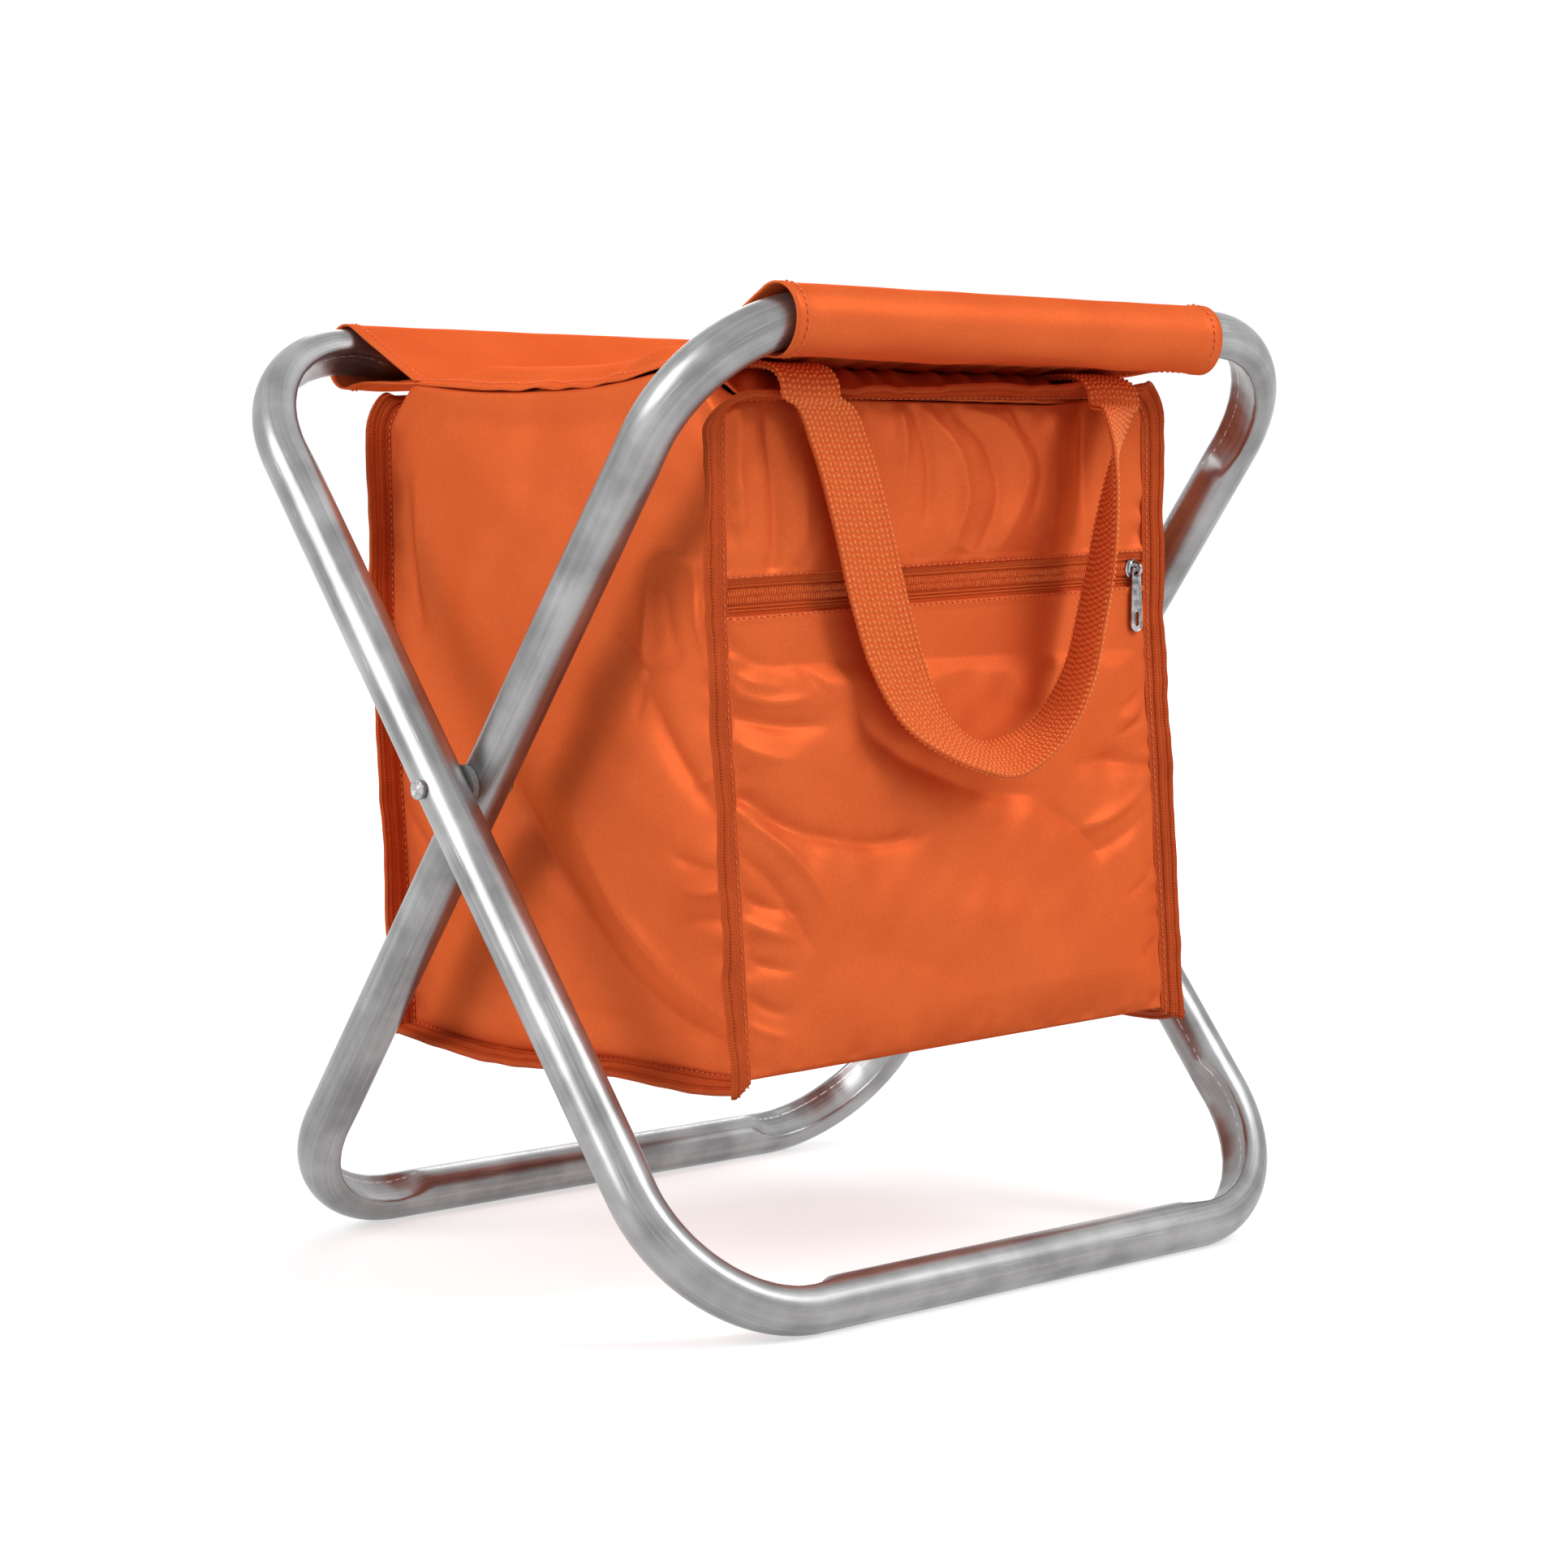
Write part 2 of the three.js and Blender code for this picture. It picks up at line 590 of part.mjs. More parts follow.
// Up one side of a face panel, over its rounded corners and down the other side.
function faceBinding(forward) {
  const sideWay = new THREE.Vector3(0.97, -0.24, 0);
  const topWay = new THREE.Vector3(0, -0.95, 0.31);
  const cornerX = halfCloth - bagCornerRadius;
  const cornerZ = bagTopHeight - bagCornerRadius;
  const rightHalf = [bagBottomHeight, leanTop].map((z) => ({ x: halfCloth, z, turn: 0 }));
  for (let step = 0; step <= cornerSteps + 1; step += 1) {
    const turn = step / (cornerSteps + 1);
    const angle = (Math.PI / 2) * turn;
    const x = cornerX + bagCornerRadius * Math.cos(angle);
    rightHalf.push({ x, z: cornerZ + bagCornerRadius * Math.sin(angle), turn });
  }
  const stationOf = ({ x, z, turn }, mirror) => {
    const lift = new THREE.Vector3(0, 0, Math.sin(Math.PI * turn) * 0.8);
    const across = sideWay.clone().lerp(topWay, turn).add(lift).normalize();
    const root = leaned(new THREE.Vector3(x, -bagFace, z), forward);
    const flip = new THREE.Vector3(mirror, 1, 1);
    return {
      at: root.addScaledVector(across, bindingRoot).multiply(flip),
      across: across.multiply(flip),
      width: bindingWidth,
    };
  };
  const right = rightHalf.map((entry) => stationOf(entry, 1));
  const left = rightHalf.map((entry) => stationOf(entry, -1)).reverse();
  return strap([...right, ...left], bindingThickness);
}

// Along the bottom edge of a side panel.
function sideBinding(sign) {
  const across = new THREE.Vector3(sign * 0.9, 0, -0.43).normalize();
  const stations = [-1, 1].map((end) => {
    const root = leaned(new THREE.Vector3(sign * halfCloth, end * wallReach, bagBottomHeight), 1);
    return { at: root.addScaledVector(across, bindingRoot), across, width: bindingWidth };
  });
  return strap(stations, bindingThickness);
}

// Handles: webbing straps. The rows give the middle of the strap as shares of the half
// span, of the reach in front of the bag and of the drop, then the turn of its width away
// from the rail's direction and its tilt, in degrees.
const handleShares = [
  [-1.0, 1.0, 0.0, 0, 0],
  [-0.93, 0.92, 0.07, 0, 0],
  [-0.81, 0.8, 0.17, 0, 2],
  [-0.67, 0.74, 0.37, 0, 5],
  [-0.56, 0.74, 0.58, 0, 6],
  [-0.46, 0.8, 0.74, 4, 10],
  [-0.34, 1.05, 0.88, 18, 14],
  [-0.17, 1.3, 0.96, 38, 17],
  [-0.02, 1.42, 0.995, 52, 20],
  [0.15, 1.42, 1.0, 56, 28],
  [0.35, 1.46, 0.96, 60, 26],
  [0.52, 1.46, 0.88, 63, 22],
  [0.64, 1.5, 0.77, 64, 14],
  [0.72, 1.5, 0.63, 64, 6],
  [0.78, 1.53, 0.5, 63, 2],
  [0.83, 1.53, 0.36, 57, 2],
  [0.88, 1.5, 0.23, 47, 2],
  [0.93, 1.4, 0.13, 32, 0],
  [0.97, 1.2, 0.06, 14, 0],
  [1.0, 1.0, 0.0, 0, 0],
];

function handleLoop() {
  const stations = handleShares.map(([xShare, reachShare, dropShare, turn, tilt]) => {
    const [turned, tilted] = [turn, tilt].map(THREE.MathUtils.degToRad);
    return {
      at: new THREE.Vector3(
        xShare * handleHalfSpan,
        -bagFace - reachShare * handleReach,
        handleRootHeight - dropShare * handleDrop,
      ),
      across: new THREE.Vector3(
        Math.cos(turned) * Math.cos(tilted), Math.sin(turned) * Math.cos(tilted), Math.sin(tilted)),
      width: handleWidth,
    };
  });
  return strap(stations, handleThickness);
}

// A sewn end runs from the seam over the top binding to where the loop hangs.
function handleEnd() {
  const overLoop = clearance + handleThickness / 2;
  const points = [
    [-seamReach - clearance, tabHeight],
    [-bagFace, (tabHeight + handleRootHeight) / 2],
    [-bagFace - handleReach + overLoop, handleRootHeight + overLoop],
  ];
  return alongX(sheetOutline(points.map(([y, z]) => new THREE.Vector2(y, z)), handleThickness), handleWidth);
}

// Zips
const zipHalf = halfCloth - clothThickness - 2 * clearance;
const tapeBack = clothThickness + clearance + tapeThickness; // behind the face panels
const chainFront = -chainThickness + tapeBack;

// The slider: two plates round the chain, a wedge between them at the leading end, and a
// bridge on the front plate that holds the puller's eye.
function zipSlider() {
  const half = sliderWidth / 2;
  const front = chainFront - clearance;
  const back = tapeBack + clearance;
  const slope = sliderLength * 0.28;
  const plate = [
    [-sliderLength / 2, -half * 0.75], [sliderLength / 2 - slope, -half], [sliderLength / 2, -half * 0.8],
    [sliderLength / 2, half * 0.8], [sliderLength / 2 - slope, half], [-sliderLength / 2, half * 0.75],
  ].map(([x, z]) => new THREE.Vector2(x, z));
  const wedgeX = sliderLength / 2;
  const wedge = [[wedgeX - slope, 0], [wedgeX, -chainWidth / 3], [wedgeX, chainWidth / 3]]
    .map(([x, z]) => new THREE.Vector2(x, z));
  const bridgeHeight = pullerThickness + bridgeClearance + bridgeRod;
  const post = (side) => block(
    [-bridgeRod / 2, front - sliderPlate - bridgeHeight, side * half * 0.7 - bridgeRod / 2],
    [bridgeRod / 2, front - sliderPlate / 2, side * half * 0.7 + bridgeRod / 2]);
  const bar = block(
    [-bridgeRod / 2, front - sliderPlate - bridgeHeight, -half * 0.7],
    [bridgeRod / 2, front - sliderPlate - bridgeHeight + bridgeRod, half * 0.7]);
  return joined(
    alongY(plate, sliderPlate).translate(0, front, 0),
    alongY(plate, sliderPlate).translate(0, back + sliderPlate, 0),
    alongY(wedge, back - front + sliderPlate).translate(0, back + sliderPlate / 2, 0),
    post(-1),
    post(1),
    bar,
  );
}

// The puller: a plate with a grip slot, whose eye hangs on the bridge
const pullerPlane = chainFront - clearance - sliderPlate - bridgeClearance / 2 - pullerThickness / 2;
const eyeBar = 1.5;

function zipPuller() {
  const round = pullerWidth / 2;
  const shape = new THREE.Shape();
  shape.moveTo(-round, -pullerLength + round);
  shape.absarc(0, -pullerLength + round, round, Math.PI, 2 * Math.PI);
  shape.lineTo(round, -eyeBar);
  shape.lineTo(round * 0.7, eyeBar / 2);
  shape.lineTo(-round * 0.7, eyeBar / 2);
  shape.lineTo(-round, -eyeBar);
  const slotRound = pullerSlotWidth / 2;
  const slot = new THREE.Path();
  const slotLow = -pullerLength + round;
  slot.moveTo(slotRound, slotLow);
  slot.lineTo(slotRound, slotLow + pullerSlotLength - pullerSlotWidth);
  slot.absarc(0, slotLow + pullerSlotLength - pullerSlotWidth, slotRound, 0, Math.PI);
  slot.lineTo(-slotRound, slotLow);
  slot.absarc(0, slotLow, slotRound, Math.PI, 2 * Math.PI);
  const eye = new THREE.Path();
  const eyeX = bridgeRod / 2 + 2 * clearance;
  const eyeLow = -sliderWidth * 0.35 - bridgeRod - 2 * clearance;
  eye.moveTo(-eyeX, -eyeBar / 2);
  eye.lineTo(-eyeX, eyeLow);
  eye.lineTo(eyeX, eyeLow);
  eye.lineTo(eyeX, -eyeBar / 2);
  shape.holes = [slot, eye];
  const settings = { depth: pullerThickness, bevelEnabled: false, curveSegments: 2 * cornerSteps };
  return new THREE.ExtrudeGeometry(shape, settings).rotateX(Math.PI / 2).translate(0, pullerThickness / 2, 0);
}

function addZip(name, group, height, slope) {
  const zip = new THREE.Group();
  zip.position.set(0, -bagFace, height);
  zip.rotation.y = -slope;
  group.add(zip);
  const sliderX = zipHalf - sliderInset;
  const chainEnd = sliderX + sliderLength * 0.1;
  const tape = (side) => {
    const near = chainWidth / 2 + clearance;
    const edges = [side * near, side * (near + tapeWidth)].sort((a, b) => a - b);
    return block([-zipHalf, tapeBack - tapeThickness, edges[0]], [zipHalf, tapeBack, edges[1]]);
  };
  piece(`${name}_tape_upper`, tape(1), zipCloth, zip);
  piece(`${name}_tape_lower`, tape(-1), zipCloth, zip);
  const chain = block([-zipHalf, chainFront, -chainWidth / 2], [chainEnd, tapeBack, chainWidth / 2]);
  piece(`${name}_chain`, chain, zipNylon, zip);
  piece(`${name}_slider`, zipSlider(), chromeMetal, zip).position.x = sliderX;
  const puller = piece(`${name}_puller`, zipPuller(), chromeMetal, zip);
  puller.position.set(sliderX, pullerPlane, 0);
  puller.rotation.y = slope;
}

// The cloth assembly. Front and back faces share one construction, the back turned round.
const cloth = turnedGroup(clothOffset, 0);
const back = turnedGroup(0, Math.PI, cloth);

[['front', cloth, 1], ['back', back, -1]].forEach(([face, group, forward]) => {
  piece(`seat_sleeve_${face}`, sleeve(), nylonCloth, group);
  piece(`seat_flap_${face}`, flap(), nylonCloth, group);
  piece(`handle_${face}`, handleLoop(), webbingCloth, group);
  [['first', -1], ['second', 1]].forEach(([end, side]) => {
    piece(`handle_${face}_${end}_end`, handleEnd(), webbingCloth, group).position.x = side * handleHalfSpan;
  });
  piece(`binding_${face}`, faceBinding(forward), bindingCloth, group);
});
piece('seat_panel', seatPanel(), nylonCloth, cloth);
piece('bag_top_panel', topPanel(), nylonCloth, cloth);
piece('bag_front_upper_panel', upperPanel(pocketZipHeight, zipSlope), nylonCloth, cloth);
piece('bag_front_lower_panel', lowerPanel(pocketZipHeight, zipSlope, frontSwell, 1), nylonCloth, cloth);
piece('bag_back_upper_panel', upperPanel(mainZipHeight, 0), nylonCloth, back);
piece('bag_back_lower_panel', lowerPanel(mainZipHeight, 0, backSwell, -1), nylonCloth, back);
piece('bag_left_panel', sidePanel(-1), nylonCloth, cloth);
piece('bag_right_panel', sidePanel(1), nylonCloth, cloth);
const bottomTop = bagBottomHeight + clothThickness;
const bottomPanel = bagBlock([-halfCloth, -wallReach, bagBottomHeight], [halfCloth, wallReach, bottomTop]);
piece('bag_bottom_panel', bottomPanel, nylonCloth, cloth);
addInsulation(cloth);
piece('binding_left_bottom', sideBinding(-1), bindingCloth, cloth);
piece('binding_right_bottom', sideBinding(1), bindingCloth, cloth);
addZip('pocket_zip', cloth, pocketZipHeight, zipSlope);
addZip('main_zip', back, mainZipHeight, 0);

export default stool;
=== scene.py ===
"""Dresses the folding cooler stool: two crossed loops of bent steel tube, an orange
coated-nylon seat slung between their top rails, and an insulated zip bag under it.
Metres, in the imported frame: rails along X, zip pocket towards -Y, floor at z = 0."""

import math

import bmesh
import bpy
import numpy as np
from mathutils import Matrix, Vector
from mathutils.geometry import tessellate_polygon


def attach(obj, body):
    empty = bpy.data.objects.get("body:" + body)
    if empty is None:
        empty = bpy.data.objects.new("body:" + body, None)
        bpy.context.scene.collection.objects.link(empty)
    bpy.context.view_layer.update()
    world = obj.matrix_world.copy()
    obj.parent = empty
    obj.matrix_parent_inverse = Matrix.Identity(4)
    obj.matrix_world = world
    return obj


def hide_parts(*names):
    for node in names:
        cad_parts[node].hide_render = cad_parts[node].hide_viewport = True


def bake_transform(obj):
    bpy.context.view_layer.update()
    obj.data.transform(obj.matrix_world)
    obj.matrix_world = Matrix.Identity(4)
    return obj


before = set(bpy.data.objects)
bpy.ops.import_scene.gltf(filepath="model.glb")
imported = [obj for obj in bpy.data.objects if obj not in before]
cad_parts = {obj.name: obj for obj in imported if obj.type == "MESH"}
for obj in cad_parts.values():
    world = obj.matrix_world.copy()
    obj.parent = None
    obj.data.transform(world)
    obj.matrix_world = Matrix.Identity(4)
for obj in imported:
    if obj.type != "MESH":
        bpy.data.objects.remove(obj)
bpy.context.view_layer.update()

# Camera: where the photograph was taken from, low and to the left of the bag's front,
# with its long lens.
camera_place = Vector((-0.9555, -1.0511, 0.2889))
camera_turn, camera_tilt, camera_roll = 0.7393, -0.0687, -0.0136
camera_forward = Vector((
    math.sin(camera_turn) * math.cos(camera_tilt),
    math.cos(camera_turn) * math.cos(camera_tilt),
    math.sin(camera_tilt),
))
camera_level = Vector((math.cos(camera_turn), -math.sin(camera_turn), 0))
camera_above = camera_level.cross(camera_forward)
camera_right = camera_level * math.cos(camera_roll) + camera_above * math.sin(camera_roll)
camera_up = camera_above * math.cos(camera_roll) - camera_level * math.sin(camera_roll)
camera = bpy.data.objects.new("camera", bpy.data.cameras.new("camera"))
camera.data.lens, camera.data.sensor_width = 77.43, 36
camera.data.clip_start, camera.data.clip_end = 0.05, 30
bpy.context.scene.collection.objects.link(camera)
camera.matrix_world = Matrix.Translation(camera_place) @ Matrix(
    (camera_right, camera_up, -camera_forward)).transposed().to_4x4()
bpy.context.scene.camera = camera
bpy.context.scene.view_settings.view_transform = "Standard"


# Studio: a white floor that shows white to the camera and keeps the stool's shadow, and
# three large soft lamps, in front, at the left and behind, which give the cloth its sheen.
class Wire:
    """One output of a node. Python's operators on wires add Math nodes to the same tree."""

    def __init__(self, tree, socket=None):
        self.tree, self.socket = tree, socket

    def node(self, kind, inputs=None, output=0, **settings):
        """Adds a node: its settings first, then the values or links of its inputs."""
        made = self.tree.nodes.new(kind)
        for key, value in settings.items():
            setattr(made, key, value)
        for key, value in (inputs or {}).items():
            if isinstance(value, Wire):
                self.tree.links.new(value.socket, made.inputs[key])
            else:
                made.inputs[key].default_value = value
        return Wire(self.tree, made.outputs[output] if len(made.outputs) else None)

    def beside(self, output):
        """Another output of the wire's own node."""
        return Wire(self.tree, self.socket.node.outputs[output])

    def math(self, operation, *values):
        return self.node("ShaderNodeMath", dict(enumerate(values)), operation=operation)

    def __add__(self, other):
        return self.math("ADD", self, other)

    def __radd__(self, other):
        return self.math("ADD", other, self)

    def __sub__(self, other):
        return self.math("SUBTRACT", self, other)

    def __rsub__(self, other):
        return self.math("SUBTRACT", other, self)

    def __mul__(self, other):
        return self.math("MULTIPLY", self, other)

    def __rmul__(self, other):
        return self.math("MULTIPLY", other, self)

    def __abs__(self):
        return self.math("ABSOLUTE", self)

    def step(self, low, high):
        """0 below low, 1 above high, smooth between them."""
        return self.node("ShaderNodeMapRange", {"Value": self, "From Min": low, "From Max": high},
                         interpolation_type="SMOOTHSTEP")

    def blend(self, color_a, color_b):
        """The first colour where the wire is 0, the second where it is 1."""
        made = self.node("ShaderNodeMix", {0: self}, output=2, data_type="RGBA")
        for index, value in ((6, color_a), (7, color_b)):
            if isinstance(value, Wire):
                self.tree.links.new(value.socket, made.socket.node.inputs[index])
            else:
                made.socket.node.inputs[index].default_value = (*value, 1)
        return made


def new_material(name):
    """An empty material with its output, and a wire to start its nodes from."""
    material = bpy.data.materials.new(name)
    material.use_nodes = True
    material.node_tree.nodes.clear()
    return material, Wire(material.node_tree)


def put_out(start, shader, material_output="ShaderNodeOutputMaterial"):
    """Ends a material or the world with its shader."""
    start.node(material_output, {"Surface": shader})


def put_in_scene(name, mesh):
    """An object of a mesh or a lamp, at the origin."""
    made = bpy.data.objects.new(name, mesh)
    bpy.context.scene.collection.objects.link(made)
    return made


floor_size = 12.0
floor_white = (0.62, 0.62, 0.62, 1)
floor_glow = 0.57
horizon_glow = 0.95
glow_start, glow_end = 0.55, 1.9
floor_mesh = bpy.data.meshes.new("floor")
floor_mesh.from_pydata(
    [(x * floor_size / 2, y * floor_size / 2, 0) for x, y in ((-1, -1), (1, -1), (1, 1), (-1, 1))],
    [], [(0, 1, 2, 3)])
floor = put_in_scene("floor", floor_mesh)
floor_material, start = new_material("studio_floor")
path = start.node("ShaderNodeLightPath")
seen = path.beside("Is Camera Ray") + path.beside("Is Glossy Ray")
matt = start.node("ShaderNodeBsdfDiffuse", {"Color": floor_white})
floor_place = start.node("ShaderNodeTexCoord", output=3)
away = start.node("ShaderNodeVectorMath", {0: floor_place}, output=1, operation="LENGTH")
glow_color = away.step(glow_start, glow_end).blend((floor_glow,) * 3, (horizon_glow,) * 3)
glow = start.node("ShaderNodeEmission", {"Color": glow_color})
lit = start.node("ShaderNodeAddShader", {0: matt, 1: glow})
put_out(start, start.node("ShaderNodeMixShader", {0: seen, 1: matt, 2: lit}))
floor_mesh.materials.append(floor_material)

world = bpy.data.worlds.new("studio")
bpy.context.scene.world = world
world.use_nodes = True
world.node_tree.nodes.clear()
sky = Wire(world.node_tree)
sky_level = 0.50
rays = sky.node("ShaderNodeLightPath")
shown = sky.math("MAXIMUM", rays.beside("Is Camera Ray"), rays.beside("Is Transmission Ray"))
shown = sky.math("MAXIMUM", shown, rays.beside("Is Glossy Ray"))
soft = sky.node("ShaderNodeBackground", {"Color": (1, 1, 1, 1), "Strength": sky_level})
white = sky.node("ShaderNodeBackground", {"Color": (1, 1, 1, 1), "Strength": 1.0})
put_out(sky, sky.node("ShaderNodeMixShader", {0: shown, 1: soft, 2: white}), "ShaderNodeOutputWorld")

stool_middle = Vector((0, 0, 0.22))


def add_lamp(name, place, width, height, power):
    """A soft rectangular lamp turned towards the stool."""
    lamp = bpy.data.lights.new(name, "AREA")
    lamp.shape, lamp.size, lamp.size_y, lamp.energy = "RECTANGLE", width, height, power
    made = put_in_scene(name, lamp)
    made.location = place
    made.rotation_mode = "QUATERNION"
    made.rotation_quaternion = (stool_middle - Vector(place)).to_track_quat("-Z", "Y")


add_lamp("front_lamp", place=(0.95, -1.6, 1.75), width=0.9, height=1.3, power=29)
add_lamp("side_lamp", place=(-2.0, 0.25, 1.3), width=0.9, height=1.3, power=24)
add_lamp("back_lamp", place=(1.3, 1.6, 1.3), width=1.0, height=1.0, power=8)


# Frame tubes: each loop is one 20 mm steel tube, bent at four corners, which flattens the
# outside of each bend and pinches a long dent into its inside. Each leg is pressed flat
# beside its rivet. Bare steel, satin, with scratches and drawn streaks along it. Broad light
# and dark bands round the tube's girth in its colour are painted reflection of the lamps.
tube_radius = 0.010
leg_spacing = 0.3318
loop_height = 0.4615
pivot_from_floor_rail = 0.2395
leg_tilt = math.radians(37.62)
loop_offset = 0.0104
bend_radius = 0.056
splice_gap = 0.0006
pinch_depth = 0.0042
pinch_lead = 0.012
pinch_run = 0.016
pinch_softness = 0.0005
hollow_depth = 0.0009
hollow_half = 0.0075
ripple_depth = 0.00012
ripple_pitch = 0.0105
outer_flattening = 0.12
bend_widening = 0.05
pivot_dent_depth = 0.0012
pivot_dent_length = 0.040
tube_sides = 64
tube_step = 0.004
same_place = 1e-6
pivot_height = tube_radius + pivot_from_floor_rail * math.cos(leg_tilt)
rail_above_pivot = loop_height - pivot_from_floor_rail
rail_height = tube_radius + loop_height * math.cos(leg_tilt)
rail_reach = rail_above_pivot * math.sin(leg_tilt)


def smooth_step(x):
    x = np.clip(x, 0, 1)
    return x * x * (3 - 2 * x)


def loop_path():
    """Rows of one loop's path in its own plane: x, z, outward angle, and the way along a
    bend in metres, which is negative on the straights."""
    side, top, floor_level = leg_spacing / 2, rail_above_pivot, -pivot_from_floor_rail
    arc = bend_radius * math.pi / 2
    rows = []

    def straight(x0, z0, x1, z1, angle):
        count = max(2, round(math.hypot(x1 - x0, z1 - z0) / tube_step))
        for k in range(count):
            share = k / count
            rows.append((x0 + (x1 - x0) * share, z0 + (z1 - z0) * share, angle, -1.0))

    def bend(x, z, from_angle):
        count = round(arc / tube_step) + 4
        for k in range(count):
            angle = from_angle - math.pi / 2 * k / count
            rows.append((x + bend_radius * math.cos(angle), z + bend_radius * math.sin(angle), angle,
                         arc * k / count))

    inner_x, high, low = side - bend_radius, top - bend_radius, floor_level + bend_radius
    quarter = math.pi / 2
    straight(splice_gap / 2, top, inner_x, top, quarter)
    bend(inner_x, high, quarter)
    straight(side, high, side, low, 0)
    bend(inner_x, low, 0)
    straight(inner_x, floor_level, -inner_x, floor_level, -quarter)
    bend(-inner_x, low, -quarter)
    straight(-side, low, -side, high, -2 * quarter)
    bend(-inner_x, high, -2 * quarter)
    straight(-inner_x, top, -splice_gap / 2, top, -3 * quarter)
    rows.append((-splice_gap / 2, top, -3 * quarter, -1.0))
    return np.array(rows), arc


def tube_points(turn):
    """The tube's skin, ring by ring, in the row frame, with its length and girth as UV."""
    rows, arc = loop_path()
    x, z, angle, way = rows.T
    steps = np.hypot(np.diff(x), np.diff(z))
    distance = np.concatenate([[0], np.cumsum(steps)])
    in_bend = way >= 0
    bend_share = np.where(in_bend, np.sin(np.pi * np.clip(way, 0, arc) / arc), 0)
    starts = distance[np.flatnonzero(in_bend & ~np.roll(in_bend, 1))]
    pinch = np.zeros_like(x)
    for begin in starts:
        reach = arc + 2 * pinch_lead
        inside = distance - begin + pinch_lead
        edge = np.clip(np.minimum(inside, reach - inside) / pinch_run, 0, 1)
        pinch = np.maximum(pinch, np.sqrt(1 - (1 - edge) ** 2))
    around = np.linspace(0, 2 * np.pi, tube_sides, endpoint=False)
    out = tube_radius * np.cos(around)[None, :] * np.ones((len(x), 1))
    across = tube_radius * np.sin(around)[None, :] * (1 + bend_widening * bend_share[:, None])
    out = np.where(out > 0, out * (1 - outer_flattening * bend_share[:, None]), out)
    ripple = ripple_depth * np.sin(2 * np.pi * distance / ripple_pitch)
    hollow = hollow_depth * np.clip(1 - (across / hollow_half) ** 2, 0, 1)
    limit = tube_radius - pinch[:, None] * (pinch_depth + hollow + ripple[:, None])
    inward = -out
    pinched = limit - pinch_softness * np.log1p(np.exp((limit - inward) / pinch_softness))
    out = np.where(pinch[:, None] > 0, -pinched, out)
    px = x[:, None] + out * np.cos(angle)[:, None]
    pz = z[:, None] + out * np.sin(angle)[:, None]
    on_leg = (np.abs(np.abs(x) - leg_spacing / 2) < same_place) & (np.abs(z) < pivot_dent_length)
    dent = np.where(on_leg, smooth_step(1.6 * (1 - np.abs(z) / (pivot_dent_length / 2))), 0)
    flat_x = x[:, None] + tube_radius - dent[:, None] * pivot_dent_depth
    px = np.where(dent[:, None] > 0, np.minimum(px, flat_x), px)
    local = np.stack([px - loop_offset, across, pz], axis=-1)
    tilt, half_turn = Matrix.Rotation(-leg_tilt, 3, "X"), Matrix.Rotation(turn, 3, "Z")
    points = local @ np.array(half_turn @ tilt).T + np.array([0, 0, pivot_height])
    uv = np.stack(np.broadcast_arrays(distance[:, None], around[None, :] * tube_radius), axis=-1)
    return points, uv


def mesh_of_rings(name, points, uv, closed_round, cap_ends, outward=None):
    """A mesh through rings of points (rings, points, 3). Closed round joins the last point
    of a ring to its first. Outward is a way that the faces should point on average."""
    rings, count = points.shape[:2]
    index = np.arange(rings * count).reshape(rings, count)
    other = np.roll(index, -1, axis=1) if closed_round else index[:, 1:]
    near = index if closed_round else index[:, :-1]
    quads = np.stack([near[:-1], other[:-1], other[1:], near[1:]], axis=-1).reshape(-1, 4)
    if closed_round:
        uv = np.concatenate([uv, uv[:, :1] + (uv[:, 1:2] - uv[:, :1]) * count], axis=1)
    corner = np.stack([uv[:-1, :-1], uv[:-1, 1:], uv[1:, 1:], uv[1:, :-1]], axis=2).reshape(-1, 2)
    faces = [tuple(int(i) for i in quad) for quad in quads]
    if cap_ends:
        faces += [tuple(int(i) for i in index[0][::-1]), tuple(int(i) for i in index[-1])]
    mesh = bpy.data.meshes.new(name)
    mesh.from_pydata(points.reshape(-1, 3).tolist(), [], faces)
    layer = mesh.uv_layers.new(name="UVMap")
    values = np.zeros((len(mesh.loops), 2))
    values[:len(corner)] = corner
    layer.data.foreach_set("uv", values.astype(np.float32).ravel())
    mesh.polygons.foreach_set("use_smooth", [True] * len(mesh.polygons))
    if cap_ends:
        for k in (-1, -2):
            mesh.polygons[k].use_smooth = False
    mesh.update()
    if outward is None:
        work = bmesh.new()
        work.from_mesh(mesh)
        inside_out = work.calc_volume(signed=True) < 0
        work.free()
    else:
        normals = np.zeros(len(mesh.polygons) * 3)
        mesh.polygons.foreach_get("normal", normals)
        inside_out = normals.reshape(-1, 3).mean(0) @ np.array(outward) < 0
    if inside_out:
        mesh.flip_normals()
    return mesh


def surface_lengths(start):
    """The two wires of a piece's UV map, which is in metres along and across it."""
    along = start.node("ShaderNodeSeparateXYZ", {0: start.node("ShaderNodeUVMap", uv_map="UVMap")})
    return along, along.beside(1)


def own_noise(start, scale, detail=2.0):
    """Noise fixed to the piece, with so many cells to a metre."""
    place = start.node("ShaderNodeTexCoord", output=3)
    return start.node("ShaderNodeTexNoise", {"Vector": place, "Scale": scale, "Detail": detail})


def drawn_noise(u, v, along, across, layer, detail):
    """Noise drawn out along the piece, with its cells to a metre each way."""
    place = u.node("ShaderNodeCombineXYZ", {0: u * along, 1: v * across, 2: layer})
    return u.node("ShaderNodeTexNoise", {"Vector": place, "Scale": 1.0, "Detail": detail})


weld_place = 0.0362
weld_sway = 0.0016
weld_core, weld_edge = 0.00012, 0.0004
steel_relief = 0.0002

